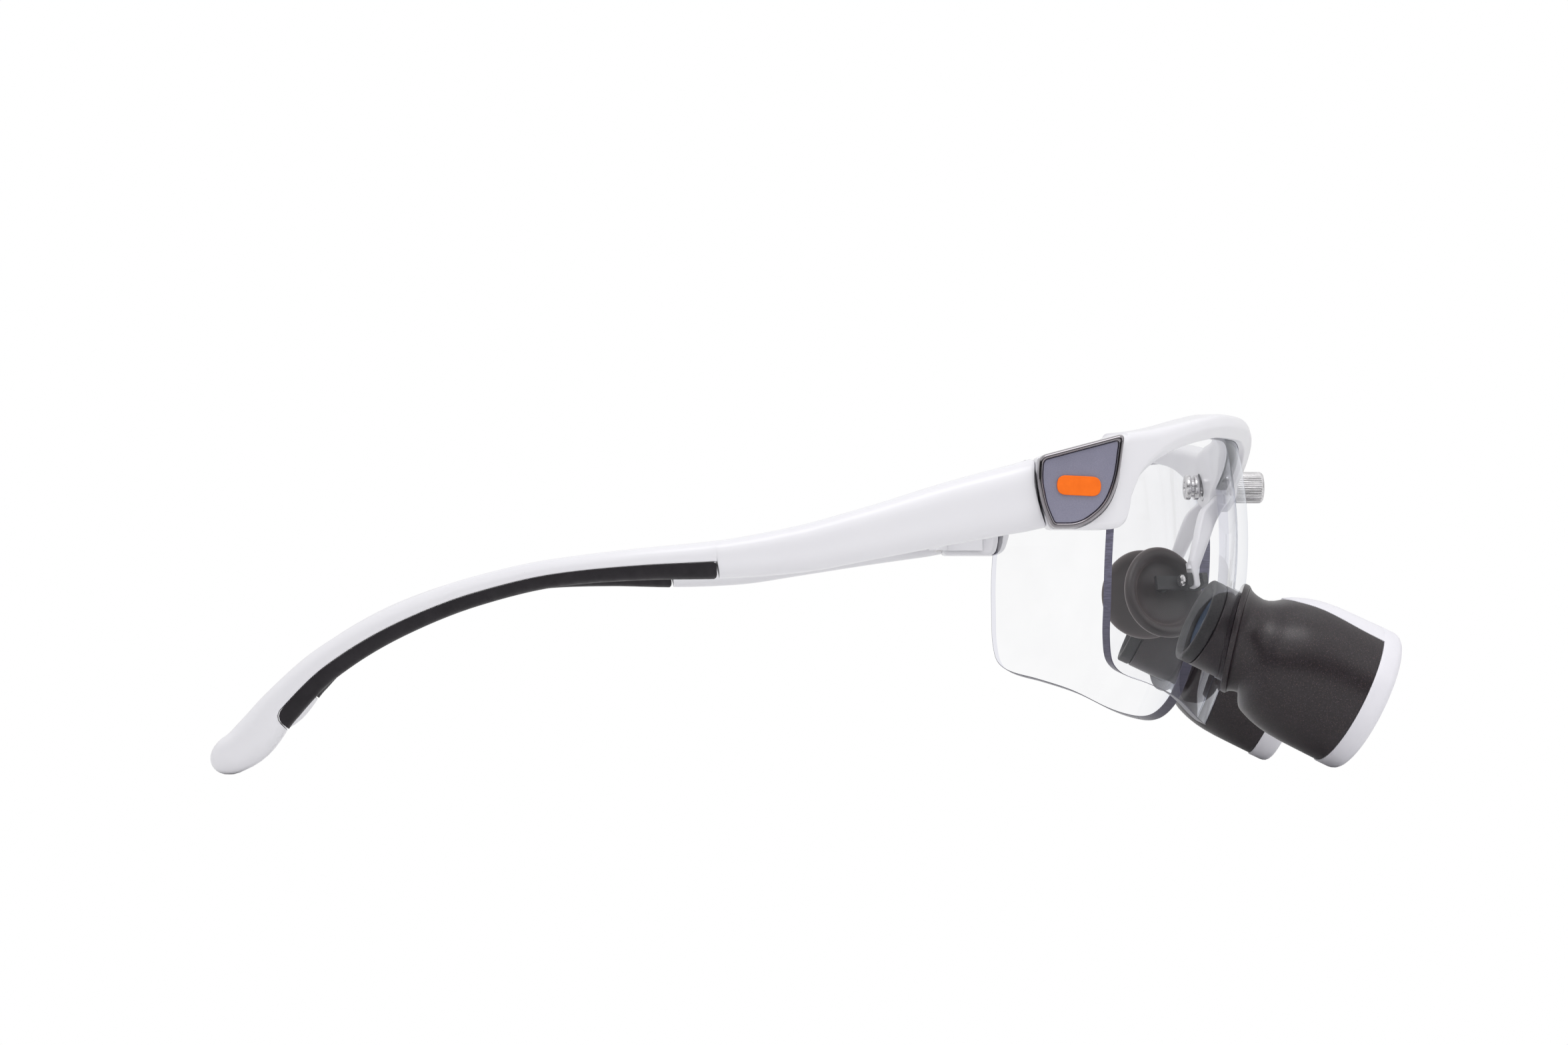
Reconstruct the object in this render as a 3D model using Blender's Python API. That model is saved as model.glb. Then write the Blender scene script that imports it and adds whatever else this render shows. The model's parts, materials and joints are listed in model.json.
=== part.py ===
"""Dental loupes: a wrap-around sport frame that carries two through-the-lens telescopes.

Frame: X across the face (the wearer's left is +X), -Y is the front, +Z is up, and Z = 0 is the table that
the temple tips and the telescope caps rest on. Sizes are in millimetres; the meshes are made in metres.
Every paired piece is designed for the left side and mirrored for the right.
"""
import math

import bmesh
import bpy
import numpy as np
from mathutils import Matrix, Vector

MM = 0.001
GAP = 0.3                       # clearance between pieces that rest on or in each other
SIDES = {"left": 1, "right": -1}

# Carrier lens: a patch of a spherical shell.
LENS_CENTRE = np.array([17.4, -2.5, 35.0])
LENS_RADIUS = 65.0
LENS_THICKNESS = 1.6

# Frame front: a moulding that follows the lens sphere, then turns back into the endpiece.
FRAME_RADIUS = 67.4             # outer face of the brow, about the lens centre
BRIDGE_ANGLE = -8.0             # the brow arc ends here and the straight bridge begins
TURN_ANGLE = 54.0               # the brow arc ends here and the endpiece turns back
TURN_RADIUS = 8.0
BROW_DEPTH = 5.5
BRIDGE_DEPTH = 4.6
END_DEPTH = 6.0
TURN_X = LENS_CENTRE[0] + (FRAME_RADIUS - TURN_RADIUS) * math.sin(math.radians(TURN_ANGLE))
TURN_Y = LENS_CENTRE[1] - (FRAME_RADIUS - TURN_RADIUS) * math.cos(math.radians(TURN_ANGLE))
END_X = TURN_X + TURN_RADIUS    # outer face of the endpiece

# Front edge of the side plaque as (Y, Z), from the top down.
PLAQUE_FRONT = [(-40.9, 48.7), (-40.0, 42.0), (-38.4, 38.0), (-34.6, 35.1)]

# Temple hinge: vertical axis on the inner side of the endpiece.
HINGE_X = END_X - END_DEPTH - 2.3
HINGE_Y = -28.7
HINGE_Z = 40.0
KNUCKLE_RADIUS = 1.6
PIN_RADIUS = 0.75
LEAF_THICKNESS = 1.0
LEAF_LENGTH = 6.0
LEAF_HEIGHT = 8.4
TEMPLE_LEAF_DROP = 2.4          # the temple leaf stays this much lower, under the sloping top of the arm

# Thumb screw and grooved stud on the centre line of the bridge.
SCREW_Z = 44.1
KNOB_FRONT_Y = -73.9
KNOB_REAR_Y = -69.3
KNOB_RADIUS = 2.5
STUD_REAR_Y = -61.3

# Nose pad pivot (left), with the pad splayed and yawed to the side of the nose.
NOSE_PIVOT = np.array([11.2, -61.0, 29.0])
NOSE_SPLAY = 15.0
NOSE_YAW = 22.0
NOSE_PAD_LENGTH = 14.0          # from front to rear
NOSE_PAD_HEIGHT = 14.8
NOSE_PAD_BACK = 4.0             # the middle of the pad sits this far behind the pivot
NOSE_PIN_RADIUS = 0.5

# Telescope: axis from the eyepiece to the objective, tipped down and turned in.
DECLINATION = 25.4
TOE_IN = 4.2
CAP_RADIUS = 11.4
CAP_END = 29.9                  # front face of the cap, measured along the axis from the eyepiece
CAP_EDGE = 29.0                 # the cap keeps its full radius up to here
CAP_START = 26.4
EYE_X = 31.3
EYE_Y = -57.91                  # puts the caps as far in front of the origin as the tips are behind it
EYE_Z = CAP_EDGE * math.sin(math.radians(DECLINATION)) + CAP_RADIUS * math.cos(math.radians(DECLINATION))
EYE = np.array([EYE_X, EYE_Y, EYE_Z])
BARREL_RADIUS = 6.6
HOLE_RADIUS = BARREL_RADIUS + GAP
FLANGE_RADIUS = 8.2
FLANGE_THICKNESS = 1.0
WALL = 2.0
OPTIC_SEAT = 25.5               # step that the objective rests against
TONGUE_DEPTH = 0.5


def direction(yaw_deg, pitch_deg):
    """Unit vector at an angle to the left of straight ahead and an angle above level."""
    yaw = math.radians(yaw_deg)
    pitch = math.radians(pitch_deg)
    return np.array([math.sin(yaw) * math.cos(pitch), -math.cos(yaw) * math.cos(pitch), math.sin(pitch)])


AXIS = direction(-TOE_IN, -DECLINATION)
AXIS_SIDE = np.cross(AXIS, [0.0, 0.0, 1.0])
AXIS_SIDE /= np.linalg.norm(AXIS_SIDE)
AXIS_UP = np.cross(AXIS_SIDE, AXIS)


# ---------------------------------------------------------------- curves and meshes

def smooth_curve(knots):
    """A function through the knots (x, y): a cubic whose slopes never overshoot."""
    xs = np.array([knot[0] for knot in knots], float)
    ys = np.array([knot[1] for knot in knots], float)
    step = np.diff(xs)
    slope = np.diff(ys) / step
    tangent = np.zeros(len(xs))
    tangent[0] = slope[0]
    tangent[-1] = slope[-1]
    for i in range(1, len(xs) - 1):
        if slope[i - 1] * slope[i] > 0:
            tangent[i] = 2 * slope[i - 1] * slope[i] / (slope[i - 1] + slope[i])

    def value(x):
        i = int(np.clip(np.searchsorted(xs, x) - 1, 0, len(xs) - 2))
        t = float(np.clip((x - xs[i]) / step[i], 0, 1))
        ends = (1 + 2 * t) * (1 - t) ** 2 * ys[i] + t * t * (3 - 2 * t) * ys[i + 1]
        return ends + step[i] * t * (1 - t) * ((1 - t) * tangent[i] - t * tangent[i + 1])

    return value


def ring_mesh(rings, loop=False):
    """A closed skin over rings with equal point counts. Without loop, the two ends get a face each."""
    bm = bmesh.new()
    made = [[bm.verts.new(point) for point in ring] for ring in rings]
    pairs = list(zip(made, made[1:]))
    if loop:
        pairs.append((made[-1], made[0]))
    for low, high in pairs:
        for i in range(len(low)):
            j = (i + 1) % len(low)
            bm.faces.new((low[i], low[j], high[j], high[i]))
    if not loop:
        bm.faces.new(made[0])
        bm.faces.new(list(reversed(made[-1])))
    return bm


def tube_point(s, r, angle):
    """Point at s along the telescope axis, at radius r, angle measured from the top."""
    return EYE + AXIS * s + r * (math.cos(angle) * AXIS_UP + math.sin(angle) * AXIS_SIDE)


def turned(profile, segments=28, loop=True, at=tube_point):
    """A turned piece: rings at each (s, r) of the profile. A profile with loop closes on itself."""
    angles = [2 * math.pi * k / segments for k in range(segments)]
    return ring_mesh([[at(s, r, a) for a in angles] for s, r in profile], loop)


def box_mesh(low, high, frame=None):
    """A box between two corners, in an optional local frame."""
    bm = bmesh.new()
    bmesh.ops.create_cube(bm, size=1.0)
    low = Vector(low)
    high = Vector(high)
    size = high - low
    bmesh.ops.transform(bm, matrix=Matrix.Diagonal((*size, 1)), verts=bm.verts)
    bmesh.ops.translate(bm, vec=(low + high) / 2, verts=bm.verts)
    if frame is not None:
        bmesh.ops.transform(bm, matrix=frame, verts=bm.verts)
    return bm


def prism(outline, low, high, to_world):
    """An outline extruded from low to high; to_world(u, v, w) places a point."""
    return ring_mesh([[to_world(u, v, w) for u, v in outline] for w in (low, high)])


def rounded_outline(corners, radius, steps=4):
    """A polygon with every corner turned into an arc-like curve."""
    points = []
    count = len(corners)
    for i in range(count):
        corner = np.array(corners[i], float)
        before = np.array(corners[i - 1], float) - corner
        after = np.array(corners[(i + 1) % count], float) - corner
        reach = min(radius, 0.45 * np.linalg.norm(before), 0.45 * np.linalg.norm(after))
        start = corner + before / np.linalg.norm(before) * reach
        end = corner + after / np.linalg.norm(after) * reach
        for k in range(steps + 1):
            t = k / steps
            points.append(tuple((1 - t) ** 2 * start + 2 * t * (1 - t) * corner + t * t * end))
    return points


# ---------------------------------------------------------------- objects and materials

PALETTE = {
    "white_gloss": ((0.86, 0.86, 0.88), 0.0, 0.22),
    "white_satin": ((0.82, 0.82, 0.84), 0.0, 0.38),
    "black_rubber": ((0.012, 0.012, 0.014), 0.0, 0.62),
    "clear_lens": ((0.90, 0.92, 0.95), 0.0, 0.04),
    "brown_rubber": ((0.035, 0.027, 0.028), 0.0, 0.50),
    "dark_chrome": ((0.16, 0.15, 0.16), 1.0, 0.16),
    "panel_grey": ((0.26, 0.25, 0.34), 0.3, 0.40),
    "orange": ((0.84, 0.16, 0.01), 0.0, 0.35),
    "flake_paint": ((0.045, 0.040, 0.042), 0.6, 0.36),
    "black_matte": ((0.02, 0.02, 0.02), 0.0, 0.70),
    "steel": ((0.62, 0.61, 0.60), 1.0, 0.24),
    "optic_glass": ((0.10, 0.12, 0.17), 0.0, 0.05),
}
materials = {}
pivots = {}


def clear_scene():
    for item in list(bpy.data.objects):
        bpy.data.objects.remove(item, do_unlink=True)


def make_materials():
    for name, (colour, metallic, roughness) in PALETTE.items():
        material = bpy.data.materials.new(name)
        material.use_nodes = True
        shader = material.node_tree.nodes["Principled BSDF"]
        shader.inputs["Base Color"].default_value = (*colour, 1)
        shader.inputs["Metallic"].default_value = metallic
        shader.inputs["Roughness"].default_value = roughness
        material.diffuse_color = (*colour, 1)
        materials[name] = material


def make_pivot(name, place):
    """An empty that the pieces of one moving group hang from."""
    empty = bpy.data.objects.new(name, None)
    empty.location = Vector(place) * MM
    bpy.context.scene.collection.objects.link(empty)
    pivots[name] = empty


def solid(name, bm, side=1, pivot=None):
    """A mesh object in metres, mirrored when side is -1, with its origin on its pivot."""
    origin = pivots[pivot].location if pivot else Vector((0, 0, 0))
    for vert in bm.verts:
        vert.co = Vector((side * vert.co.x, vert.co.y, vert.co.z)) * MM - origin
    bmesh.ops.triangulate(bm, faces=bm.faces)
    bmesh.ops.recalc_face_normals(bm, faces=bm.faces)
    mesh = bpy.data.meshes.new(name)
    bm.to_mesh(mesh)
    bm.free()
    item = bpy.data.objects.new(name, mesh)
    bpy.context.scene.collection.objects.link(item)
    if pivot:
        item.parent = pivots[pivot]
    return item


def piece(name, bm, material, side=1, pivot=None):
    """A solid that is part of the object, with its material and smooth shading."""
    item = solid(name, bm, side, pivot)
    item.data.materials.append(materials[material])
    item.data.shade_smooth()
    item.data.set_sharp_from_angle(angle=math.radians(35))
    return item


def combine(item, bm, operation, side=1):
    """Joins a helper solid to a piece, or cuts it away."""
    helper = solid(f"helper_{item.name}_{len(item.modifiers)}", bm, side)
    helper.hide_render = True
    helper.display_type = "WIRE"
    modifier = item.modifiers.new(operation.lower(), "BOOLEAN")
    modifier.operation = operation
    modifier.solver = "EXACT"
    modifier.object = helper


# ---------------------------------------------------------------- carrier lens

def on_sphere(r, angle, radius):
    """Where a line parallel to the telescope axis, at (r, angle) from it, meets a lens sphere."""
    start = tube_point(0, r, angle) - LENS_CENTRE
    along = float(start @ AXIS)
    reach = math.sqrt(along * along - float(start @ start) + radius * radius) - along
    return tube_point(reach, r, angle)


def lens_outline(growth=0.0):
    """The outline as directions from the lens centre: temporal edge, lower edge, nasal edge, top edge."""
    lower = [(55.4, -4.0), (54.9, -10.6), (54.3, -14.0), (53.0, -16.9), (50.4, -18.5), (44.5, -19.8),
             (36.4, -21.6), (26.5, -24.2), (19.3, -25.4), (11.0, -25.9), (4.5, -25.3), (-1.6, -23.4)]
    nasal = [(-5.0, -21.4), (-6.8, -17.5), (-7.4, -11.0), (-7.6, -3.0), (-7.6, 4.0), (-7.2, 7.6)]
    top = [(-5.0, 9.4), (0.0, 11.0), (5.0, 12.6), (11.0, 14.0), (18.0, 14.6), (26.0, 14.6), (33.0, 14.0),
           (39.0, 13.2), (43.5, 12.2), (47.0, 11.2), (50.0, 10.0), (52.2, 8.2), (53.8, 5.8), (54.9, 2.6)]
    middle = np.array([25.0, -5.0])
    grown = []
    for point in lower + nasal + top:
        offset = np.array(point) - middle
        grown.append(middle + offset * (1 + math.degrees(growth / LENS_RADIUS) / np.linalg.norm(offset)))
    return [direction(yaw, pitch) for yaw, pitch in grown]


def carrier_lens_mesh():
    """A shell between two spheres, from the round telescope opening out to the outline."""
    outline = lens_outline()
    angles = []
    for towards in outline:
        offset = LENS_CENTRE + LENS_RADIUS * towards - EYE
        angles.append(math.atan2(float(offset @ AXIS_SIDE), float(offset @ AXIS_UP)))
    shares = [0.0, 0.15, 0.4, 0.7, 1.0]
    rings = []
    for radius, order in ((LENS_RADIUS, shares), (LENS_RADIUS - LENS_THICKNESS, shares[::-1])):
        for share in order:
            ring = []
            for towards, angle in zip(outline, angles):
                hole = on_sphere(HOLE_RADIUS, angle, radius) - LENS_CENTRE
                mixed = hole / radius * (1 - share) + towards * share
                ring.append(LENS_CENTRE + radius * mixed / np.linalg.norm(mixed))
            rings.append(ring)
    return ring_mesh(rings, loop=True)


def lens_slot_mesh():
    """The lens with clearance all round and no opening: it cuts the slot in the frame."""
    outline = lens_outline(GAP)
    middle = direction(25.0, -5.0)
    rings = []
    shares = (0.04, 0.5, 1.0)
    for radius, order in ((LENS_RADIUS + GAP, shares), (LENS_RADIUS - LENS_THICKNESS - GAP, shares[::-1])):
        for share in order:
            ring = []
            for towards in outline:
                mixed = middle * (1 - share) + towards * share
                ring.append(LENS_CENTRE + radius * mixed / np.linalg.norm(mixed))
            rings.append(ring)
    return ring_mesh(rings)


# ---------------------------------------------------------------- frame front

brow_top = smooth_curve([(-16, 49.8), (-8, 50.6), (0, 51.5), (10, 52.5), (20, 53.1), (28, 53.0), (36, 52.0),
                         (45, 50.3), (52, 49.2), (60, 48.4)])
brow_bottom = smooth_curve([(-16, 40.2), (-11, 41.2), (-8, 43.0), (-2, 45.6), (5, 47.9), (11, 49.0),
                            (17, 49.6), (28, 49.5), (35, 48.7), (41, 47.5), (46, 45.9), (50, 43.9),
                            (52, 42.2), (53.2, 40.2), (54, 38.6), (57, 36.9), (62, 35.9), (69, 35.3),
                            (80, 35.0), (90, 35.0)])
end_top = smooth_curve([(-42, 48.7), (-37, 47.7), (-28, 45.2)])
END_BOTTOM = 35.0


def end_line(z):
    """Y of the rear edge of the endpiece, which the plaque and the temple both follow."""
    return smooth_curve([(34.0, -30.8), (35.4, -30.0), (38.0, -28.9), (42.0, -28.1), (46.0, -28.4)])(z)


def frame_section(low, high, depth, lip):
    """Cross-section as (offset from the outer face, height): a chamfer below and rounded edges."""
    return [(-lip, low), (-0.25, low + 1.0), (0, low + 1.6), (0, high - 1.0), (-0.3, high - 0.3),
            (-1.2, high), (1.2 - depth, high), (0.3 - depth, high - 0.3), (-depth, high - 1.0),
            (-depth, low + 0.8), (0.8 - depth, low)]


def frame_rings():
    """Sections from the middle of the bridge to the rear of the left endpiece."""
    rings = []
    depth_along = smooth_curve([(-16, BRIDGE_DEPTH), (-8, BRIDGE_DEPTH), (4, BROW_DEPTH), (45, BROW_DEPTH),
                                (TURN_ANGLE, END_DEPTH)])

    def lean(z, weight):
        return weight * (math.sqrt(FRAME_RADIUS ** 2 - (z - LENS_CENTRE[2]) ** 2) - FRAME_RADIUS)

    bridge = math.radians(BRIDGE_ANGLE)
    bridge_x = LENS_CENTRE[0] + FRAME_RADIUS * math.sin(bridge)
    for share in (0.0, 0.5):
        station = BRIDGE_ANGLE * (2 - share)
        ring = []
        for offset, z in frame_section(brow_bottom(station), brow_top(station), depth_along(station), 1.0):
            y = LENS_CENTRE[1] - (FRAME_RADIUS + lean(z, 1)) * math.cos(bridge) - offset
            ring.append((bridge_x * share, y, z))
        rings.append(ring)

    for station in (-8, -4, 0, 5, 10, 15, 20, 25, 30, 35, 39, 43, 46, 48.5, 50.5, 52, 53, TURN_ANGLE):
        heading = math.radians(station)
        weight = 1 - max(0.0, (station - 44) / (TURN_ANGLE - 44)) * 0.8
        ring = []
        for offset, z in frame_section(brow_bottom(station), brow_top(station), depth_along(station), 1.2):
            reach = FRAME_RADIUS + lean(z, weight) + offset
            ring.append((LENS_CENTRE[0] + reach * math.sin(heading),
                         LENS_CENTRE[1] - reach * math.cos(heading), z))
        rings.append(ring)

    for station in (57, 61, 66, 73, 81, 90):
        heading = math.radians(station)
        y_mid = TURN_Y - TURN_RADIUS * math.cos(heading)
        weight = 0.2 * (90 - station) / (90 - TURN_ANGLE)
        ring = []
        for offset, z in frame_section(brow_bottom(station), end_top(y_mid), END_DEPTH, 0.6):
            reach = TURN_RADIUS + lean(z, weight) + offset
            ring.append((TURN_X + reach * math.sin(heading), TURN_Y - reach * math.cos(heading), z))
        rings.append(ring)

    for share in (0.35, 0.7, 1.0):
        ring = []
        for offset, z in frame_section(END_BOTTOM, end_top(TURN_Y + share * 9), END_DEPTH, 0.6):
            ring.append((END_X + offset, TURN_Y + share * (end_line(z) - TURN_Y), z))
        rings.append(ring)
    return rings


def nose_frame():
    """Local frame of the left nose pad: x away from the nose, y along the pivot pin, z up the leg."""
    yaw = Matrix.Rotation(math.radians(-NOSE_YAW), 4, "Z")
    splay = Matrix.Rotation(math.radians(-NOSE_SPLAY), 4, "Y")
    return Matrix.Translation(Vector(NOSE_PIVOT)) @ yaw @ splay


def screw_point(s, r, angle):
    """Point about the thumb screw's axis; s runs along Y."""
    return (r * math.cos(angle), s, SCREW_Z + r * math.sin(angle))


def pin_point(s, r, angle):
    """Point about the left nose pad's pivot pin; s runs along the pin."""
    return nose_frame() @ Vector((r * math.cos(angle), s, r * math.sin(angle)))


def hinge_point(s, r, angle):
    """Point about the left temple hinge's axis; s is the height."""
    return (HINGE_X + r * math.cos(angle), HINGE_Y + r * math.sin(angle), s)


def leg_mesh():
    """The left nose leg: a broad blade from the underside of the bridge down to the pivot tab."""
    stations = [
        (10.75, -60.85, 30.85, 1.0, 1.3, -22), (10.0, -61.6, 33.0, 1.0, 1.9, -22),
        (9.0, -62.4, 35.5, 1.05, 2.2, -20), (7.6, -63.0, 38.0, 1.1, 2.4, -15),
        (6.7, -64.2, 40.2, 1.2, 2.4, -8), (6.3, -66.2, 42.2, 1.4, 1.5, 0), (6.2, -66.9, 44.5, 1.4, 1.1, 0)]
    rings = []
    for x, y, z, half_x, half_y, yaw in stations:
        turn = Matrix.Rotation(math.radians(yaw), 4, "Z")
        corners = [(-half_x, -half_y), (half_x, -half_y), (half_x, half_y), (-half_x, half_y)]
        section = rounded_outline(corners, 0.7, 2)
        rings.append([Vector((x, y, z)) + turn @ Vector((u, v, 0)) for u, v in section])
    return ring_mesh(rings)


def build_frame_front():
    half = frame_rings()
    mirrored = [[(-x, y, z) for x, y, z in ring] for ring in reversed(half[1:])]
    front = piece("frame_front", ring_mesh(mirrored + half), "white_gloss")
    combine(front, turned([(-68.9, 2.8), (-68.6, 3.3), (-64.5, 3.4)], 24, False, screw_point), "UNION")
    local = nose_frame()
    for side in SIDES.values():
        combine(front, leg_mesh(), "UNION", side)
        combine(front, box_mesh((-0.95, -0.6, -1.2), (0.95, 0.6, 3.0), local), "UNION", side)
    for side in SIDES.values():
        combine(front, prism(plaque_seat(), END_X - 0.8, END_X + 3.0, side_point), "DIFFERENCE", side)
        bore = [(-2.0, NOSE_PIN_RADIUS + GAP), (2.0, NOSE_PIN_RADIUS + GAP)]
        combine(front, turned(bore, 12, False, pin_point), "DIFFERENCE", side)
        combine(front, lens_slot_mesh(), "DIFFERENCE", side)
    combine(front, turned([(-72.0, 2.4), (-60.0, 2.4)], 20, False, screw_point), "DIFFERENCE")


# ---------------------------------------------------------------- plaque and badge

def side_point(u, v, w):
    """Outline coordinates (Y, Z) at height w along X."""
    return (w, u, v)


def inset_corners(corners, amount):
    """Corners of a convex polygon whose sides have all moved inwards by the same amount."""
    points = np.array(corners, float)
    middle = points.mean(axis=0)
    lines = []
    for i in range(len(points)):
        along = points[(i + 1) % len(points)] - points[i]
        normal = np.array([-along[1], along[0]]) / np.linalg.norm(along)
        if normal @ (middle - points[i]) < 0:
            normal = -normal
        lines.append((normal, float(normal @ points[i]) + amount))
    moved = []
    for i in range(len(points)):
        pair = np.array([lines[i - 1][0], lines[i][0]])
        moved.append(tuple(np.linalg.solve(pair, [lines[i - 1][1], lines[i][1]])))
    return moved


def plaque_outline(inset=0.0):
    """Sloping top, slanted front edge, short bottom and slightly bowed rear edge."""
    corners = [(-28.5, 45.4), *PLAQUE_FRONT, (-30.3, 35.1), (-28.95, 38.2), (-28.2, 42.0)]
    return rounded_outline(inset_corners(corners, inset), max(1.1 - 0.5 * inset, 0.4), 2)


def plaque_seat():
    """The step that the plaque sits in: it follows the front edge and is open at the other sides."""
    front = [(y - GAP, z) for y, z in PLAQUE_FRONT]
    return [(-22.0, 56.0), (front[0][0], 56.0), *front, (-28.0, 30.0), (-22.0, 30.0)]


def build_plaque(side_name, side):
    outer = plaque_outline()
    rim = plaque_outline(0.4)
    inner = plaque_outline(0.8)
    levels = [(outer, -0.5), (outer, 0.35), (rim, 0.8), (inner, 0.65), (inner, -0.05)]
    rings = [[side_point(u, v, END_X + height) for u, v in outline] for outline, height in levels]
    piece(f"plaque_bezel_{side_name}", ring_mesh(rings), "dark_chrome", side)
    panel = prism(plaque_outline(0.95), END_X + 0.1, END_X + 0.5, side_point)
    piece(f"plaque_panel_{side_name}", panel, "panel_grey", side)
    bar = rounded_outline([(-37.2, 39.6), (-31.4, 39.9), (-31.5, 42.7), (-37.3, 42.4)], 1.25, 4)
    piece(f"plaque_badge_{side_name}", prism(bar, END_X + 0.6, END_X + 0.85, side_point), "orange", side)


# ---------------------------------------------------------------- temples

temple_height = smooth_curve([(-31, 40.6), (-17, 37.5), (-5, 34.5), (6, 32.0), (17, 30.55), (28, 29.75),
                              (40, 28.5), (51.4, 26.05), (62.5, 22.1), (73, 15.7), (79.5, 9.5), (83, 5.6),
                              (86.6, 2.85), (92, -0.4)])
temple_half = smooth_curve([(-31, 5.15), (-17, 4.5), (-5, 3.8), (6, 3.3), (17, 2.7), (28, 2.3), (40, 2.05),
                            (62.5, 2.05), (73, 2.45), (79.5, 2.85), (83, 3.25), (86.6, 2.8)])
temple_mid = smooth_curve([(-31, 70.2), (-10, 71.3), (5, 72.1), (17, 72.4), (28, 72.0), (40, 70.6),
                           (51, 68.4), (62, 65.6), (73, 62.0), (80, 59.4), (87, 56.6), (92, 54.6)])
temple_width = smooth_curve([(-31, 3.0), (-10, 2.65), (10, 2.35), (28, 2.1), (62, 2.0), (80, 2.3),
                             (86.6, 2.1)])
PAD_START = 17.4
PAD_END = 82.0
PAD_STATIONS = (23, 29, 35, 41, 47, 53, 59, 64, 69, 73.5, 77.0)
PAD_LINE = -0.1                 # height of the line between arm and pad, in half-heights
TIP_CENTRE = 86.6
TIP_RADIUS = 2.8


def oval_section(width, height, low, high, steps=6):
    """Rounded section between two heights (in half-heights), right side up and left side down."""
    power = 2.6
    right = []
    for k in range(steps + 1):
        level = low + (high - low) * (1 - math.cos(math.pi * k / steps)) / 2
        half = width * max(0.16, (1 - min(1.0, abs(level)) ** power) ** (1 / power))
        right.append((half, level * height))
    return right + [(-half, level) for half, level in reversed(right)]


def temple_ring(y, low, high, scale=1.0, advance=0.0):
    """A section square to the temple's side view, at y along it."""
    slope = np.array([1.0, (temple_height(y + 0.2) - temple_height(y - 0.2)) / 0.4])
    tangent = slope / np.linalg.norm(slope)
    middle = np.array([y, temple_height(y)]) + tangent * advance
    ring = []
    for across, up in oval_section(temple_width(y) * scale, temple_half(y) * scale, low, high):
        place = middle + up * np.array([-tangent[1], tangent[0]])
        ring.append((temple_mid(place[0]) + across, place[0], place[1]))
    return ring


def temple_arm_mesh():
    front = []
    for x, y, z in temple_ring(-29.0, -1, 1):
        front.append((x, end_line(z) + GAP, z))
    rings = [front]
    rings += [temple_ring(y, -1, 1) for y in (-24, -18, -11, -4, 3, 10, PAD_START - 0.6)]
    rings += [temple_ring(y, PAD_LINE, 1) for y in (PAD_START, *PAD_STATIONS, PAD_END - 1.0)]
    rings += [temple_ring(y, -1, 1) for y in (PAD_END + 1.0, 84.6, TIP_CENTRE)]
    for turn in (30, 52, 72):
        shrunk = math.cos(math.radians(turn))
        rings.append(temple_ring(TIP_CENTRE, -1, 1, shrunk, TIP_RADIUS * math.sin(math.radians(turn))))
    return ring_mesh(rings)


def temple_pad_mesh():
    gap_line = PAD_LINE - 0.14
    rings = [temple_ring(y, -1, gap_line) for y in (PAD_START + GAP, *PAD_STATIONS)]
    rings.append(temple_ring(PAD_END - 2.4, -1, gap_line - 0.1))
    rings.append(temple_ring(PAD_END - 1.2, -1, gap_line - 0.4))
    return ring_mesh(rings)


# ---------------------------------------------------------------- hinges

def build_hinge(side_name, side):
    """A front leaf with two knuckles, a temple leaf with the middle knuckle, and their screw."""
    pivot = f"temple_pivot_{side_name}"
    low = HINGE_Z - LEAF_HEIGHT / 2
    high = HINGE_Z + LEAF_HEIGHT / 2
    third = LEAF_HEIGHT / 3
    reach = KNUCKLE_RADIUS + GAP
    inner = HINGE_X + 1.0           # inner face of both leaves
    outer = inner + LEAF_THICKNESS

    def knuckle(bottom, top):
        return turned([(bottom, KNUCKLE_RADIUS), (top, KNUCKLE_RADIUS)], 20, False, hinge_point)

    plate = box_mesh((inner, HINGE_Y - reach - LEAF_LENGTH, low), (outer, HINGE_Y - reach, high))
    front = piece(f"hinge_leaf_front_{side_name}", plate, "white_gloss", side)
    for bottom in (low, high - third + GAP):
        top = bottom + third - GAP
        tab = box_mesh((inner - 0.6, HINGE_Y - reach - 0.5, bottom),
                       (outer - 0.01, HINGE_Y + 0.2, top - 0.01))
        combine(front, tab, "UNION", side)
        combine(front, knuckle(bottom + 0.01, top), "UNION", side)

    plate = box_mesh((inner, HINGE_Y + reach, low),
                     (outer, HINGE_Y + reach + LEAF_LENGTH, high - TEMPLE_LEAF_DROP))
    rear = piece(f"hinge_leaf_temple_{side_name}", plate, "white_gloss", side, pivot)
    bottom = low + third + GAP / 2
    top = high - third - GAP / 2
    tab = box_mesh((inner - 0.6, HINGE_Y - 0.2, bottom),
                   (outer - 0.01, HINGE_Y + reach + 0.5, top - 0.01))
    combine(rear, tab, "UNION", side)
    combine(rear, knuckle(bottom + 0.01, top), "UNION", side)

    for leaf in (front, rear):
        bore = turned([(low - 2, PIN_RADIUS + GAP), (high + 2, PIN_RADIUS + GAP)], 16, False, hinge_point)
        combine(leaf, bore, "DIFFERENCE", side)

    profile = [(low - 0.3, PIN_RADIUS - 0.2), (low, PIN_RADIUS), (high + GAP, PIN_RADIUS), (high + GAP, 1.45),
               (high + 0.8, 1.45), (high + 1.0, 1.2)]
    screw = piece(f"hinge_screw_{side_name}", turned(profile, 16, False, hinge_point), "steel", side)
    slot = box_mesh((HINGE_X - 2, HINGE_Y - 0.25, high + 0.7), (HINGE_X + 2, HINGE_Y + 0.25, high + 2))
    combine(screw, slot, "DIFFERENCE", side)


# ---------------------------------------------------------------- nose pads

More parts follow.
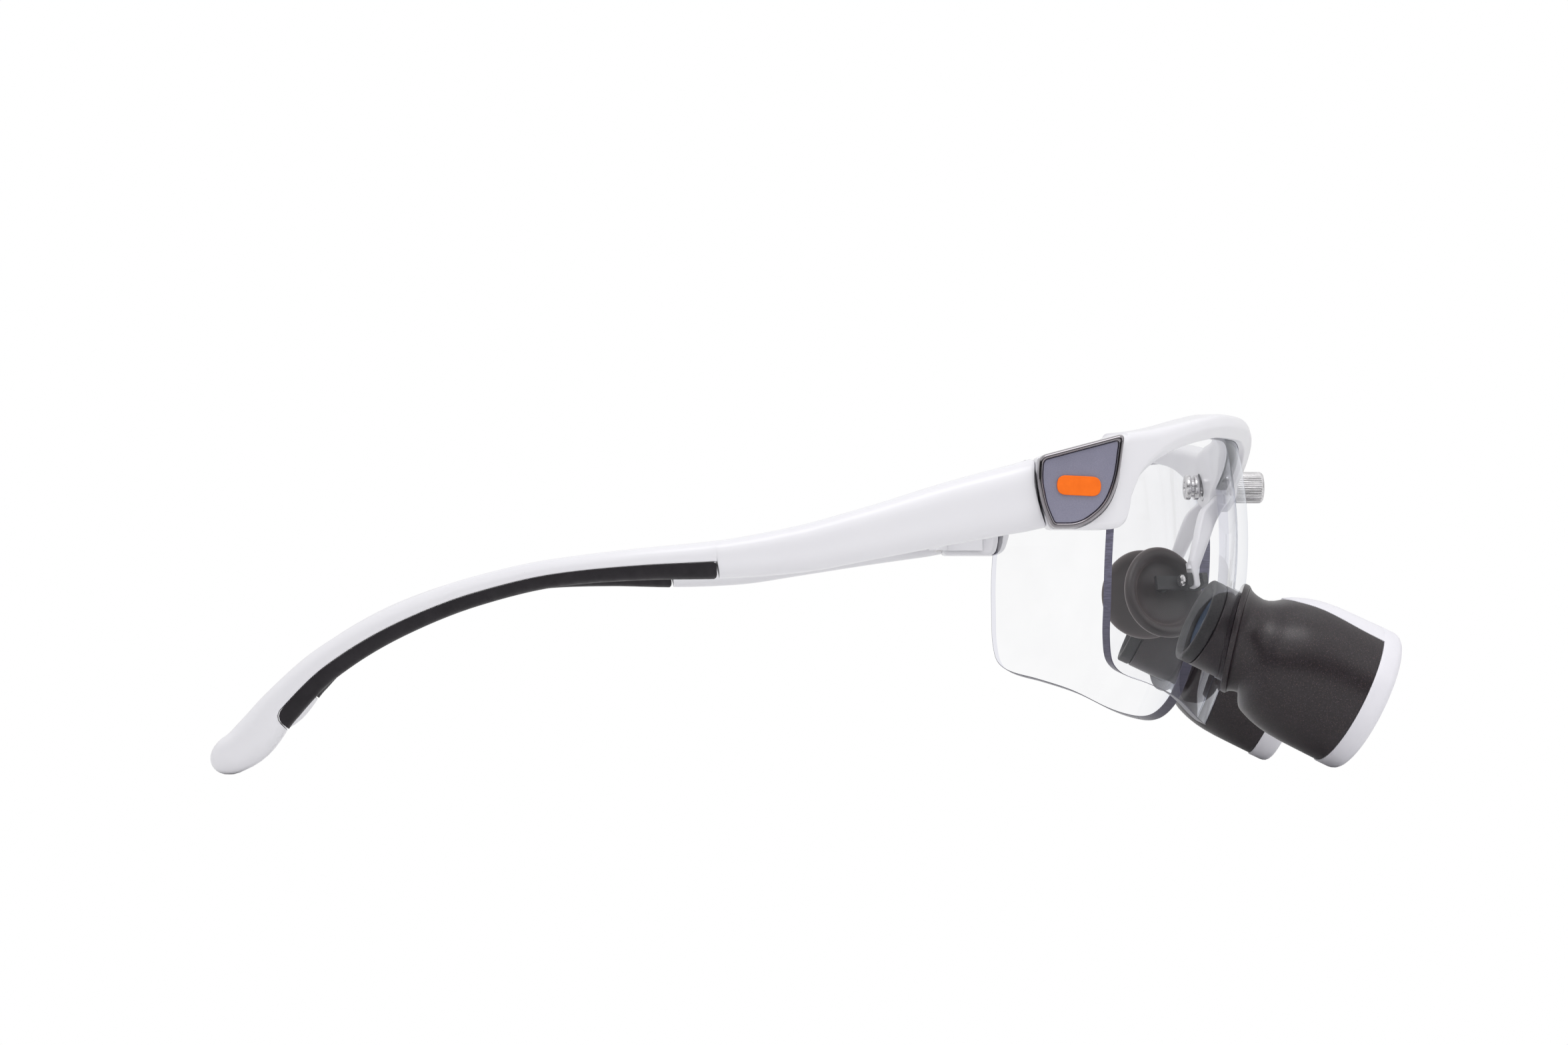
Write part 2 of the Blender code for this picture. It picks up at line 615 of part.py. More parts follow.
def nose_pad_mesh():
    """A soft oval dish: rounded towards the nose, with a thick rim and a recess on the clip's side."""
    local = nose_frame()
    profile = [(0.03, -5.0), (0.4, -4.95), (0.7, -4.85), (0.88, -4.45), (0.97, -3.95), (1.0, -3.4),
               (0.96, -2.8), (0.88, -2.5), (0.79, -2.55), (0.72, -2.95), (0.68, -3.55), (0.55, -3.8),
               (0.03, -3.85)]
    rings = []
    for scale, across in profile:
        ring = []
        for k in range(24):
            angle = 2 * math.pi * k / 24
            along = NOSE_PAD_LENGTH / 2 * scale * math.sin(angle) * (1 - 0.07 * math.cos(angle))
            up = NOSE_PAD_HEIGHT / 2 * scale * math.cos(angle)
            ring.append(local @ Vector((across + 0.4 * scale ** 2, NOSE_PAD_BACK + along, up - 1.1)))
        rings.append(ring)
    return ring_mesh(rings)


def build_nose_pad(side_name, side):
    """A pad on a clip that rocks on a pin through the end of the frame's nose leg."""
    pivot = f"nose_pivot_{side_name}"
    local = nose_frame()
    clip = piece(f"nose_pad_clip_{side_name}", box_mesh((-1.95, -1.8, -1.1), (-1.25, 6.0, 1.1), local),
                 "black_matte", side, pivot)
    for low in (-1.8, 0.9):
        ear = rounded_outline([(-1.9, -1.1), (1.3, -1.1), (1.3, 1.1), (-1.9, 1.1)], 0.6, 2)
        combine(clip, prism(ear, low, low + 0.9, lambda u, v, w: local @ Vector((u, w, v))), "UNION", side)
    turns = np.linspace(0, 2 * math.pi, 16, endpoint=False)
    button = [(NOSE_PAD_BACK + math.cos(angle), math.sin(angle)) for angle in turns]
    combine(clip, prism(button, -3.6, -1.5, lambda u, v, w: local @ Vector((w, u, v))), "UNION", side)
    bore = [(-3, NOSE_PIN_RADIUS + GAP), (3, NOSE_PIN_RADIUS + GAP)]
    combine(clip, turned(bore, 12, False, pin_point), "DIFFERENCE", side)

    profile = [(-2.1, NOSE_PIN_RADIUS), (2.1, NOSE_PIN_RADIUS), (2.1, 0.95), (2.5, 0.95), (2.7, 0.6)]
    piece(f"nose_pad_pin_{side_name}", turned(profile, 14, False, pin_point), "steel", side)
    piece(f"nose_pad_{side_name}", nose_pad_mesh(), "brown_rubber", side, pivot)


# ---------------------------------------------------------------- bridge hardware

def build_bridge_hardware():
    knob = []
    ridges = 14
    for s, r, depth in ((KNOB_FRONT_Y, KNOB_RADIUS - 0.5, 0), (KNOB_FRONT_Y + 0.4, KNOB_RADIUS, 0.12),
                        (KNOB_REAR_Y - 0.3, KNOB_RADIUS, 0.12), (KNOB_REAR_Y, KNOB_RADIUS - 0.4, 0),
                        (KNOB_REAR_Y, 1.2, 0), (-66.2, 1.2, 0), (-65.9, 0.9, 0)):
        ring = []
        for k in range(2 * ridges):
            ring.append(screw_point(s, r - depth * (k % 2), math.pi * k / ridges))
        knob.append(ring)
    piece("thumb_screw", ring_mesh(knob), "steel", 1, "screw_pivot")
    bush = [(-68.8, 2.1), (-68.8, 1.5), (-64.2, 1.5), (-64.2, 2.1)]
    piece("bridge_bush", turned(bush, 18, True, screw_point), "steel")
    stud = [(-65.6, 1.1), (-63.4, 1.1), (-63.4, 1.9), (-63.2, 2.0), (-62.75, 2.0), (-62.7, 1.55),
            (-62.3, 1.55), (-62.25, 2.0), (STUD_REAR_Y - 0.2, 2.0), (STUD_REAR_Y, 1.8)]
    piece("grooved_stud", turned(stud, 18, False, screw_point), "steel")


# ---------------------------------------------------------------- telescopes

housing_outer = smooth_curve([(5, 7.1), (8, 7.2), (10, 8.0), (11.5, 9.0), (13, 9.7), (15, 10.4), (17.5, 10.9),
                              (20, 11.1), (28, 11.25)])
tongue_half = smooth_curve([(10.9, 0.5), (11.4, 2.0), (12.5, 3.4), (15, 4.9), (19, 6.3), (22.5, 6.9),
                            (27.2, 7.3)])


def housing_start(angle):
    """Where the flared outside begins: its profile meets a sphere just in front of the lens flange."""
    radius = LENS_RADIUS + 2 * GAP + FLANGE_THICKNESS
    low = 2.0
    high = 16.0
    for _ in range(40):
        middle = (low + high) / 2
        if np.linalg.norm(tube_point(middle, housing_outer(middle), angle) - LENS_CENTRE) < radius:
            low = middle
        else:
            high = middle
    return low


def housing_mesh(segments=28):
    angles = [2 * math.pi * k / segments for k in range(segments)]
    radius = LENS_RADIUS + 2 * GAP + FLANGE_THICKNESS
    rings = [[tube_point(2.3, BARREL_RADIUS, a) for a in angles]]
    rings.append([on_sphere(BARREL_RADIUS, a, radius) for a in angles])
    starts = [housing_start(a) for a in angles]
    for share in (0.0, 0.33, 0.67):
        ring = []
        for start, a in zip(starts, angles):
            s = start + (12.4 - start) * share
            ring.append(tube_point(s, housing_outer(s), a))
        rings.append(ring)
    shoulder = CAP_START - GAP
    spigot = CAP_END - 1.1
    for s in (12.4, 14, 16, 18.5, 21.5, shoulder):
        rings.append([tube_point(s, housing_outer(s), a) for a in angles])
    inside = [(shoulder, 10.4), (spigot, 10.4), (spigot, 9.7), (OPTIC_SEAT, 9.7), (OPTIC_SEAT, 8.9),
              (20, 8.9)]
    inside += [(s, housing_outer(s) - WALL) for s in (16.5, 14, 12)]
    inside += [(9.5, 5.6), (2.3, 5.6)]
    for s, r in inside:
        rings.append([tube_point(s, r, a) for a in angles])
    return ring_mesh(rings, loop=True)


def tongue_mesh(growth=0.0, inner=TONGUE_DEPTH, outer=0.12, start=0.0, end=CAP_START + 0.8):
    """The cap's tongue over the top of the housing, as a curved plate of even thickness."""
    stations = (10.9, 11.15, 11.6, 12.5, 14, 16, 19, 22.5, end)
    across = 8
    rings = []
    for index, s in enumerate(stations):
        place = s - start if index == 0 else s
        radius = housing_outer(place)
        reach = (tongue_half(s) + growth) / radius
        upper = []
        lower = []
        for k in range(across + 1):
            angle = reach * (2 * k / across - 1)
            upper.append(tube_point(place, radius + outer, angle))
            lower.append(tube_point(place, radius - inner, angle))
        rings.append(upper + lower[::-1])
    return ring_mesh(rings)


def flange_mesh(segments=28):
    angles = [2 * math.pi * k / segments for k in range(segments)]
    inner = LENS_RADIUS + GAP
    outer = inner + FLANGE_THICKNESS
    corners = [(HOLE_RADIUS, inner), (FLANGE_RADIUS, inner), (FLANGE_RADIUS, outer - 0.3),
               (FLANGE_RADIUS - 0.3, outer), (HOLE_RADIUS, outer)]
    return ring_mesh([[on_sphere(r, a, sphere) for a in angles] for r, sphere in corners], loop=True)


def lens_profile(rear, edge_rear, edge_front, front, radius):
    """Profile of a round optic: pole to pole through its edge. Poles are tiny flats."""
    profile = [(rear, 0.2)]
    for share in (0.35, 0.7):
        profile.append((rear + (edge_rear - rear) * share ** 2, radius * share))
    profile += [(edge_rear, radius), (edge_front, radius)]
    for share in (0.7, 0.35):
        profile.append((front + (edge_front - front) * share ** 2, radius * share))
    profile.append((front, 0.2))
    return profile


def build_telescope(side_name, side):
    housing = piece(f"telescope_housing_{side_name}", housing_mesh(), "flake_paint", side)
    combine(housing, tongue_mesh(GAP, TONGUE_DEPTH + GAP, 1.5, GAP, CAP_START + 0.6), "DIFFERENCE", side)

    lip = CAP_END - 0.8
    cap_ring = [(CAP_START, CAP_RADIUS), (CAP_START, 10.7), (lip, 10.7), (lip, 9.3), (CAP_END, 9.3),
                (CAP_END, 10.4), (CAP_END - 0.25, 11.0), (CAP_EDGE, CAP_RADIUS)]
    cap = piece(f"front_cap_{side_name}", turned(cap_ring), "white_satin", side)
    combine(cap, tongue_mesh(), "UNION", side)

    piece(f"lens_flange_{side_name}", flange_mesh(), "flake_paint", side)
    ring = [(0.4, BARREL_RADIUS), (2.0, BARREL_RADIUS), (2.0, 5.3), (4.2, 5.3), (4.2, 4.9), (1.3, 4.9),
            (0.2, 5.5), (0.0, 5.8), (0.0, 6.3)]
    piece(f"eyepiece_ring_{side_name}", turned(ring, 24), "black_matte", side)
    eye_lens = turned(lens_profile(2.2, 1.6, 3.6, 3.2, 4.6), 20, False)
    piece(f"eyepiece_lens_{side_name}", eye_lens, "optic_glass", side)
    baffle = [(11.5, 5.7), (20.5, 8.3), (24.2, 8.3), (24.2, 7.7), (20.7, 7.7), (11.7, 5.1)]
    piece(f"baffle_tube_{side_name}", turned(baffle, 24), "black_matte", side)
    front_lens = turned(lens_profile(25.0, OPTIC_SEAT + GAP, 27.6, 28.5, 9.4), 24, False)
    piece(f"objective_lens_{side_name}", front_lens, "optic_glass", side)
    retainer = [(28.1, 9.4), (28.1, 8.5), (28.8, 8.7), (28.8, 9.4)]
    piece(f"objective_ring_{side_name}", turned(retainer, 24), "black_matte", side)


def build():
    clear_scene()
    make_materials()
    make_pivot("screw_pivot", (0, KNOB_FRONT_Y, SCREW_Z))
    for side_name, side in SIDES.items():
        make_pivot(f"temple_pivot_{side_name}", (side * HINGE_X, HINGE_Y, HINGE_Z))
        make_pivot(f"nose_pivot_{side_name}", (side * NOSE_PIVOT[0], NOSE_PIVOT[1], NOSE_PIVOT[2]))
    build_frame_front()
    build_bridge_hardware()
    for side_name, side in SIDES.items():
        pivot = f"temple_pivot_{side_name}"
        piece(f"carrier_lens_{side_name}", carrier_lens_mesh(), "clear_lens", side)
        piece(f"temple_arm_{side_name}", temple_arm_mesh(), "white_gloss", side, pivot)
        piece(f"temple_pad_{side_name}", temple_pad_mesh(), "black_rubber", side, pivot)
        build_plaque(side_name, side)
        build_hinge(side_name, side)
        build_nose_pad(side_name, side)
        build_telescope(side_name, side)


build()
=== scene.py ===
"""Looks of the dental loupes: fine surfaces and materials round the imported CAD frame.

Lengths inside the shape functions are millimetres in the row frame; make_piece turns them into metres.
"""
import json
from math import atan2, cos, degrees, pi, radians, sin, sqrt

import bmesh
import bpy
import numpy as np
from mathutils import Matrix, Vector


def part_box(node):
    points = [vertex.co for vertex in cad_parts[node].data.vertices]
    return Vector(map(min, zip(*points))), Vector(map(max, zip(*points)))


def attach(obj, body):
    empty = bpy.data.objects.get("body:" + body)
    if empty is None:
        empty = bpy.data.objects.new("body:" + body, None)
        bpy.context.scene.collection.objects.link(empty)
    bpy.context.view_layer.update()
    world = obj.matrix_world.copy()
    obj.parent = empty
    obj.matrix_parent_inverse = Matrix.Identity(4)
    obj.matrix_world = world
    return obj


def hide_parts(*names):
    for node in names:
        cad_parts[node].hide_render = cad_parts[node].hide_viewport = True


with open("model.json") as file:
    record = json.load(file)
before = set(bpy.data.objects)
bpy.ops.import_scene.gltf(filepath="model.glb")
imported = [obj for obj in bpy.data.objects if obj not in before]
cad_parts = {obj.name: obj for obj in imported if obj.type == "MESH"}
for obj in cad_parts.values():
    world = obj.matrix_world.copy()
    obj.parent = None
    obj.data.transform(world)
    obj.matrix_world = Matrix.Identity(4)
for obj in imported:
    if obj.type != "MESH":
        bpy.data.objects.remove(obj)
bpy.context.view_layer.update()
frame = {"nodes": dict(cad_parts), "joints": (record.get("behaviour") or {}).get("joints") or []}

MM = 0.001
SIDES = {"left": 1, "right": -1}
JOINTS = {joint["name"]: joint for joint in frame["joints"]}


def box_mm(node):
    """Lowest and highest corner of a CAD node, in millimetres."""
    low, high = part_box(node)
    return np.array(low) / MM, np.array(high) / MM


# ---- places taken from the frame

KNOB_LOW, KNOB_HIGH = box_mm("thumb_screw")
STUD_LOW, STUD_HIGH = box_mm("grooved_stud")
END_X = box_mm("frame_front")[1][0]             # outer face of the endpiece
SCREW_Z = (STUD_LOW[2] + STUD_HIGH[2]) / 2

# Carrier lens: a patch of a spherical shell.
LENS_CENTRE = np.array([17.4, -2.5, 35])
LENS_RADIUS = 65.0
LENS_THICKNESS = 1.6

# Brow: an arc about the lens centre, then a turn back into the endpiece.
FRAME_RADIUS = 67.4
BRIDGE_ANGLE = -8.0             # the arc ends here and the straight bridge begins
TURN_ANGLE = 54.0               # the arc ends here and the endpiece turns back
TURN_RADIUS = 8.0
BRIDGE_DEPTH = 4.6
BROW_DEPTH = 5.5
END_DEPTH = 6.0
END_BOTTOM = 35.0
TURN_X = END_X - TURN_RADIUS
TURN_Y = LENS_CENTRE[1] - (FRAME_RADIUS - TURN_RADIUS) * cos(radians(TURN_ANGLE))

# Telescope: its axis runs from the eyepiece to the objective, tipped down and turned in.
DECLINATION = 25.4
TOE_IN = 4.2
CAP_RADIUS = 11.4
CAP_END = 29.9
CAP_START = 26.4
BARREL_RADIUS = 6.6
HOLE_RADIUS = 6.75
FLANGE_RADIUS = 8.2


def unit(vector):
    """The vector at length one."""
    return vector / np.linalg.norm(vector)


def direction(yaw_deg, pitch_deg):
    """Unit vector at an angle to the left of straight ahead and an angle above level."""
    yaw = radians(yaw_deg)
    pitch = radians(pitch_deg)
    return np.array([sin(yaw) * cos(pitch), -cos(yaw) * cos(pitch), sin(pitch)])


AXIS = direction(-TOE_IN, -DECLINATION)
AXIS_SIDE = unit(np.cross(AXIS, [0, 0, 1]))
AXIS_UP = np.cross(AXIS_SIDE, AXIS)
OBJECTIVE_MIDDLE = 26.7         # from the eyepiece's rim along the axis
EYE = sum(box_mm("objective_lens_left")) / 2 - OBJECTIVE_MIDDLE * AXIS


# ---- curves

def smooth_curve(knots):
    """A function through the knots (x, y): a cubic whose slopes never overshoot."""
    xs = np.array([knot[0] for knot in knots], float)
    ys = np.array([knot[1] for knot in knots], float)
    step = np.diff(xs)
    slope = np.diff(ys) / step
    tangent = np.array([slope[0], *np.zeros(len(xs) - 2), slope[-1]])
    for i in range(1, len(xs) - 1):
        if slope[i - 1] * slope[i] > 0:
            tangent[i] = 2 * slope[i - 1] * slope[i] / (slope[i - 1] + slope[i])

    def value(x):
        i = int(np.clip(np.searchsorted(xs, x) - 1, 0, len(xs) - 2))
        t = float(np.clip((x - xs[i]) / step[i], 0, 1))
        ends = (1 + 2 * t) * (1 - t) ** 2 * ys[i] + t * t * (3 - 2 * t) * ys[i + 1]
        return ends + step[i] * t * (1 - t) * ((1 - t) * tangent[i] - t * tangent[i + 1])

    return value


def closed_curve(points, steps):
    """A smooth closed line through the points, with steps parts between neighbours."""
    points = [np.array(p, float) for p in points]
    count = len(points)
    line = []
    for i in range(count):
        a, b, c, d = (points[(i + k - 1) % count] for k in range(4))
        reach = np.linalg.norm(c - b)
        start = (c - a) * reach / (reach + np.linalg.norm(b - a))
        end = (d - b) * reach / (reach + np.linalg.norm(d - c))
        for k in range(steps):
            t = k / steps
            place = (1 + 2 * t) * (1 - t) ** 2 * b + t * t * (3 - 2 * t) * c
            line.append(place + t * (1 - t) ** 2 * start - t * t * (1 - t) * end)
    return line


def rounded_outline(corners, radii, steps=6):
    """A polygon whose corners are rounded, each by its own reach."""
    if not hasattr(radii, "__len__"):
        radii = [radii] * len(corners)
    points = []
    count = len(corners)
    for i in range(count):
        corner = np.array(corners[i], float)
        before = np.array(corners[i - 1], float) - corner
        after = np.array(corners[(i + 1) % count], float) - corner
        reach = min(radii[i], 0.48 * np.linalg.norm(before), 0.48 * np.linalg.norm(after))
        start = corner + unit(before) * reach
        end = corner + unit(after) * reach
        for k in range(steps + 1):
            t = k / steps
            points.append((1 - t) ** 2 * start + 2 * t * (1 - t) * corner + t * t * end)
    return points


# ---- meshes and pieces

def configure(item, **settings):
    """Sets attributes of an item and hands it back."""
    for key, value in settings.items():
        setattr(item, key, value)
    return item


def add_object(name, data):
    """An object with the data, in the scene."""
    item = bpy.data.objects.new(name, data)
    bpy.context.scene.collection.objects.link(item)
    return item


def edit_mesh(mesh, change):
    """Runs a change on a mesh as a BMesh."""
    bm = bmesh.new()
    bm.from_mesh(mesh)
    change(bm)
    bm.to_mesh(mesh)
    bm.free()


def orient(bm):
    bmesh.ops.recalc_face_normals(bm, faces=bm.faces)


def split_caps(bm):
    bmesh.ops.triangulate(bm, faces=[face for face in bm.faces if len(face.verts) > 4])


def skin(rings, loop=False):
    """Points and faces of a closed skin over rings. Without loop, the two ends get a face each."""
    count = len(rings[0])
    points = [tuple(point) for ring in rings for point in ring]
    faces = []
    total = len(points)
    for low in range(0, total if loop else total - count, count):
        high = (low + count) % total
        for i in range(count):
            j = (i + 1) % count
            faces.append((low + i, low + j, high + j, high + i))
    if not loop:
        faces.append(tuple(range(count)))
        faces.append(tuple(reversed(range(total - count, total))))
    return points, faces


def tube_point(s, r, angle):
    """Point at s along the telescope axis, at radius r, angle measured from the top."""
    return EYE + AXIS * s + r * (cos(angle) * AXIS_UP + sin(angle) * AXIS_SIDE)


def screw_point(s, r, angle):
    """Point about the thumb screw's axis; s runs along Y."""
    return (r * cos(angle), s, SCREW_Z + r * sin(angle))


def around(count):
    """Angles that go once round."""
    return [2 * pi * k / count for k in range(count)]


def turned(profile, segments=96, loop=True, at=tube_point):
    """Points and faces of a turned shape."""
    return skin([[at(s, r, a) for a in around(segments)] for s, r in profile], loop)


def make_mesh(name, shape, side=1):
    """An object in metres from millimetre points and faces, mirrored when side is -1."""
    points, faces = shape
    mesh = bpy.data.meshes.new(name)
    mesh.from_pydata([(side * x * MM, y * MM, z * MM) for x, y, z in points], [], faces)
    edit_mesh(mesh, orient)
    return add_object(name, mesh)


def finish_piece(item, finish, node, body="front", sharp=32):
    """Shading, material, slot, body and CAD node of a piece."""
    item.data.shade_smooth()
    item.data.set_sharp_from_angle(angle=radians(sharp))
    item.data.materials.clear()
    item.data.materials.append(FINISH[finish])
    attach(item, body)
    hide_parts(node)


def make_piece(name, shape, finish, node, side="", body="front", sharp=32):
    """A visible piece that rides on a body and stands for a CAD node, mirrored for the right side."""
    if side:
        name = f"{name}_{side}"
        node = f"{node}_{side}"
    item = make_mesh(name, shape, SIDES.get(side, 1))
    finish_piece(item, finish, node, body, sharp)
    return item


def carve(item, steps):
    """Applies Boolean steps (operation, shape, side) to a mesh object and removes the helpers."""
    helpers = []
    for operation, shape, side in steps:
        helper = make_mesh("helper", shape, side)
        for part in (item, helper):
            edit_mesh(part.data, split_caps)
        modifier = item.modifiers.new("carve", "BOOLEAN")
        configure(modifier, operation=operation, solver="EXACT", object=helper)
        helpers.append(helper)
    depsgraph = bpy.context.evaluated_depsgraph_get()
    depsgraph.update()
    result = bpy.data.meshes.new_from_object(item.evaluated_get(depsgraph))
    item.modifiers.clear()
    old = item.data
    item.data = result
    bpy.data.meshes.remove(old)
    for helper in helpers:
        mesh = helper.data
        bpy.data.objects.remove(helper, do_unlink=True)
        bpy.data.meshes.remove(mesh)


# ---- materials

class Nodes:
    """A node tree and short ways to add to it."""

    def __init__(self, tree):
        self.tree = tree

    def link(self, source, target):
        self.tree.links.new(source, target)

    def node(self, kind, inputs=(), **settings):
        """A node with its settings, and a value or a link for each named input."""
        made = configure(self.tree.nodes.new(kind), **settings)
        for key, value in dict(inputs).items():
            if hasattr(value, "is_output"):
                self.link(value, made.inputs[key])
            else:
                made.inputs[key].default_value = value
        return made

    def ramp(self, source, *stops):
        """A ramp through (place, grey level or colour) stops."""
        made = self.node("ShaderNodeValToRGB", {"Fac": source})
        elements = made.color_ramp.elements
        while len(elements) < len(stops):
            elements.new(0.5)
        for element, (place, level) in zip(elements, stops):
            element.position = place
            colour = level if hasattr(level, "__len__") else (level, level, level)
            element.color = (*colour, 1)
        return made.outputs["Color"]

    def math(self, operation, first, second):
        return self.node("ShaderNodeMath", {0: first, 1: second}, operation=operation).outputs["Value"]

    def choose(self, factor, first, second):
        """Two shaders mixed by a factor."""
        return self.node("ShaderNodeMixShader", {0: factor, 1: first, 2: second}).outputs["Shader"]


class Shader(Nodes):
    """A Principled material, textured in object coordinates."""

    def __init__(self, name, colour, roughness, metallic=0.0, **inputs):
        self.material = bpy.data.materials.new(name)
        self.material.use_nodes = True
        super().__init__(self.material.node_tree)
        self.bsdf = self.tree.nodes["Principled BSDF"]
        self.output = self.tree.nodes["Material Output"]
        self.coords = self.node("ShaderNodeTexCoord").outputs["Object"]
        inputs.update(Base_Color=(*colour, 1), Roughness=roughness, Metallic=metallic)
        for key, value in inputs.items():
            self.set(key.replace("_", " "), value)

    def set(self, key, value):
        self.bsdf.inputs[key].default_value = value

    def noise(self, grain_mm, detail=3.0, stretch=None):
        """Noise with grains of about the given size, stretched along each axis where asked."""
        vector = self.coords
        if stretch:
            vector = self.node("ShaderNodeMapping", {"Scale": stretch, "Vector": vector}).outputs["Vector"]
        inputs = {"Scale": 1 / (grain_mm * MM), "Detail": detail, "Roughness": 0.55, "Vector": vector}
        return self.node("ShaderNodeTexNoise", inputs).outputs["Fac"]

    def cells(self, grain_mm):
        """Random cells of about the given size: their colour and distance."""
        inputs = {"Scale": 1 / (grain_mm * MM), "Vector": self.coords}
        return self.node("ShaderNodeTexVoronoi", inputs).outputs

    def drive(self, key, source, low, high, start=0.3, stop=0.7):
        """Runs an input from low to high while the source goes from start to stop."""
        self.link(self.ramp(source, (start, low), (stop, high)), self.bsdf.inputs[key])

    def mix(self, factor, first, second, blend="MIX"):
        """Two colours or sockets mixed by a factor."""
        first, second = ((*c, 1) if isinstance(c, tuple) else c for c in (first, second))
        inputs = {0: factor, 6: first, 7: second}
        return self.node("ShaderNodeMix", inputs, data_type="RGBA", blend_type=blend).outputs[2]

    def colour(self, *mix):
        """Sends a colour mix to the base colour."""
        self.link(self.mix(*mix), self.bsdf.inputs["Base Color"])

    def bump(self, height, strength, depth_mm):
        inputs = {"Strength": strength, "Distance": depth_mm * MM, "Height": height}
        self.link(self.node("ShaderNodeBump", inputs).outputs["Normal"], self.bsdf.inputs["Normal"])

    def painted_edge_light(self, power=2.0):
        """How much the surface turns away from the viewer: the mask for light painted into a colour at the
        edges.
        """
        return self.node("ShaderNodeLayerWeight", {"Blend": 1 / power}).outputs["Facing"]

    def rear(self):
        """Whether the ray meets the rear of a face."""
        return self.node("ShaderNodeNewGeometry").outputs["Backfacing"]

    def surface(self, *mix):
        """Sends a mix of two shaders to the output."""
        self.link(self.choose(*mix), self.output.inputs["Surface"])


def gloss_white():
    """Injection-moulded white plastic: a soft gloss, slow drifts of tone and a few tiny specks."""
    s = Shader("gloss_white", (0.72, 0.71, 0.745), 0.28, Coat_Weight=0.2, Coat_Roughness=0.12)
    tone = s.ramp(s.noise(18, 2), (0.3, (0.708, 0.701, 0.736)), (0.7, (0.724, 0.717, 0.75)))
    specks = s.ramp(s.cells(3.2)["Distance"], (0, 1), (0.025, 0))
    chosen = s.ramp(s.noise(6, 1), (0.64, 0), (0.68, 1))
    s.colour(s.mix(1, specks, chosen, "MULTIPLY"), tone, (0.45, 0.44, 0.46))
    s.drive("Roughness", s.noise(5, 2), 0.275, 0.29, stop=0.75)
    s.bump(s.noise(0.5, 2), 0.02, 0.003)
    return s


def satin_white():
    """Satin white-lavender plastic of the telescope caps."""
    s = Shader("satin_white", (0.72, 0.71, 0.76), 0.42, Coat_Weight=0.05)
    s.drive("Base Color", s.noise(6), (0.7, 0.69, 0.74), (0.735, 0.725, 0.77))
    s.drive("Roughness", s.noise(2), 0.38, 0.46)
    s.bump(s.noise(0.16, 2), 0.06, 0.006)
    return s


def black_rubber():
    """Soft-touch rubber with a fine mould texture and slight dust."""
    s = Shader("black_rubber", (0.012, 0.01, 0.013), 0.55, Specular_IOR_Level=0.3, Sheen_Weight=0.04)
    s.drive("Base Color", s.noise(4, 4), (0.008, 0.006, 0.009), (0.014, 0.011, 0.015), 0.35, 0.75)
    s.drive("Roughness", s.noise(1.2, 4), 0.46, 0.66)
    s.bump(s.noise(0.2, 2), 0.12, 0.01)
    return s


def brown_rubber():
    """Soft dark brown rubber of the nose pads, a little lighter where it turns away: a painted sheen."""
    s = Shader("brown_rubber", (0.02, 0.014, 0.015), 0.36, Specular_IOR_Level=0.45, Sheen_Weight=0.12)
    s.set("Sheen Tint", (0.75, 0.62, 0.6, 1))
    body = s.ramp(s.noise(2.5), (0.3, (0.015, 0.01, 0.011)), (0.7, (0.024, 0.017, 0.018)))
    # Painted sheen: the colour turns lighter brown where the pad turns away from the viewer.
    s.colour(s.painted_edge_light(3), body, (0.075, 0.058, 0.058))
    s.drive("Roughness", s.noise(3), 0.32, 0.42)
    s.bump(s.noise(0.3, 2), 0.05, 0.006)
    return s


def flake_paint():
    """Dark bronze paint with tiny, faint metal flakes under a soft clear coat."""
    s = Shader("flake_paint", (0.012, 0.009, 0.01), 0.4, 0.1, Coat_Weight=0.3, Coat_Roughness=0.27,
               Specular_IOR_Level=0.38)
    separate = s.node("ShaderNodeSeparateColor", {"Color": s.cells(0.1)["Color"]})
    sparkle = s.ramp(separate.outputs["Red"], (0.86, 0), (1, 1))
    body = s.ramp(s.noise(0.4), (0.3, (0.01, 0.0062, 0.0085)), (0.7, (0.019, 0.013, 0.0165)))
    tint = s.mix(separate.outputs["Green"], (0.08, 0.048, 0.042), (0.055, 0.042, 0.062))
    s.colour(sparkle, body, tint)
    s.drive("Metallic", sparkle, 0.08, 0.4, 0, 1)
    s.drive("Roughness", s.noise(4), 0.36, 0.44)
    s.bump(s.noise(1.5, 2), 0.05, 0.01)
    return s


def dark_chrome():
    """Polished dark chrome with faint smears; its colour is painted lighter where the surface turns away, a
    painted reflection.
    """
    s = Shader("dark_chrome", (0.3, 0.28, 0.3), 0.1, 1)
    s.drive("Roughness", s.noise(1.4, 4), 0.08, 0.13, stop=0.75)
    # Painted reflection: the chrome's colour brightens where the surface turns away from the viewer.
    s.colour(s.painted_edge_light(), (0.2, 0.185, 0.2), (0.6, 0.58, 0.6))
    s.bump(s.noise(2.5, 2), 0.05, 0.02)
    return s


def panel_grey():
    """Satin violet-grey anodised plate with a very fine grain."""
    s = Shader("panel_grey", (0.26, 0.25, 0.34), 0.36, 0.35)
    s.drive("Base Color", s.noise(0.12, 2), (0.235, 0.23, 0.31), (0.285, 0.28, 0.37))
    s.drive("Roughness", s.noise(3, 4), 0.3, 0.42)
    s.bump(s.noise(0.09, 1), 0.12, 0.006)
    return s


def orange_enamel():
    """Orange enamel of the plain bar."""
    s = Shader("orange_enamel", (0.86, 0.155, 0.008), 0.45, Specular_IOR_Level=0.2)
    s.drive("Base Color", s.noise(1.2), (0.84, 0.145, 0.006), (0.9, 0.165, 0.009))
    s.bump(s.noise(0.4, 2), 0.12, 0.01)
    return s


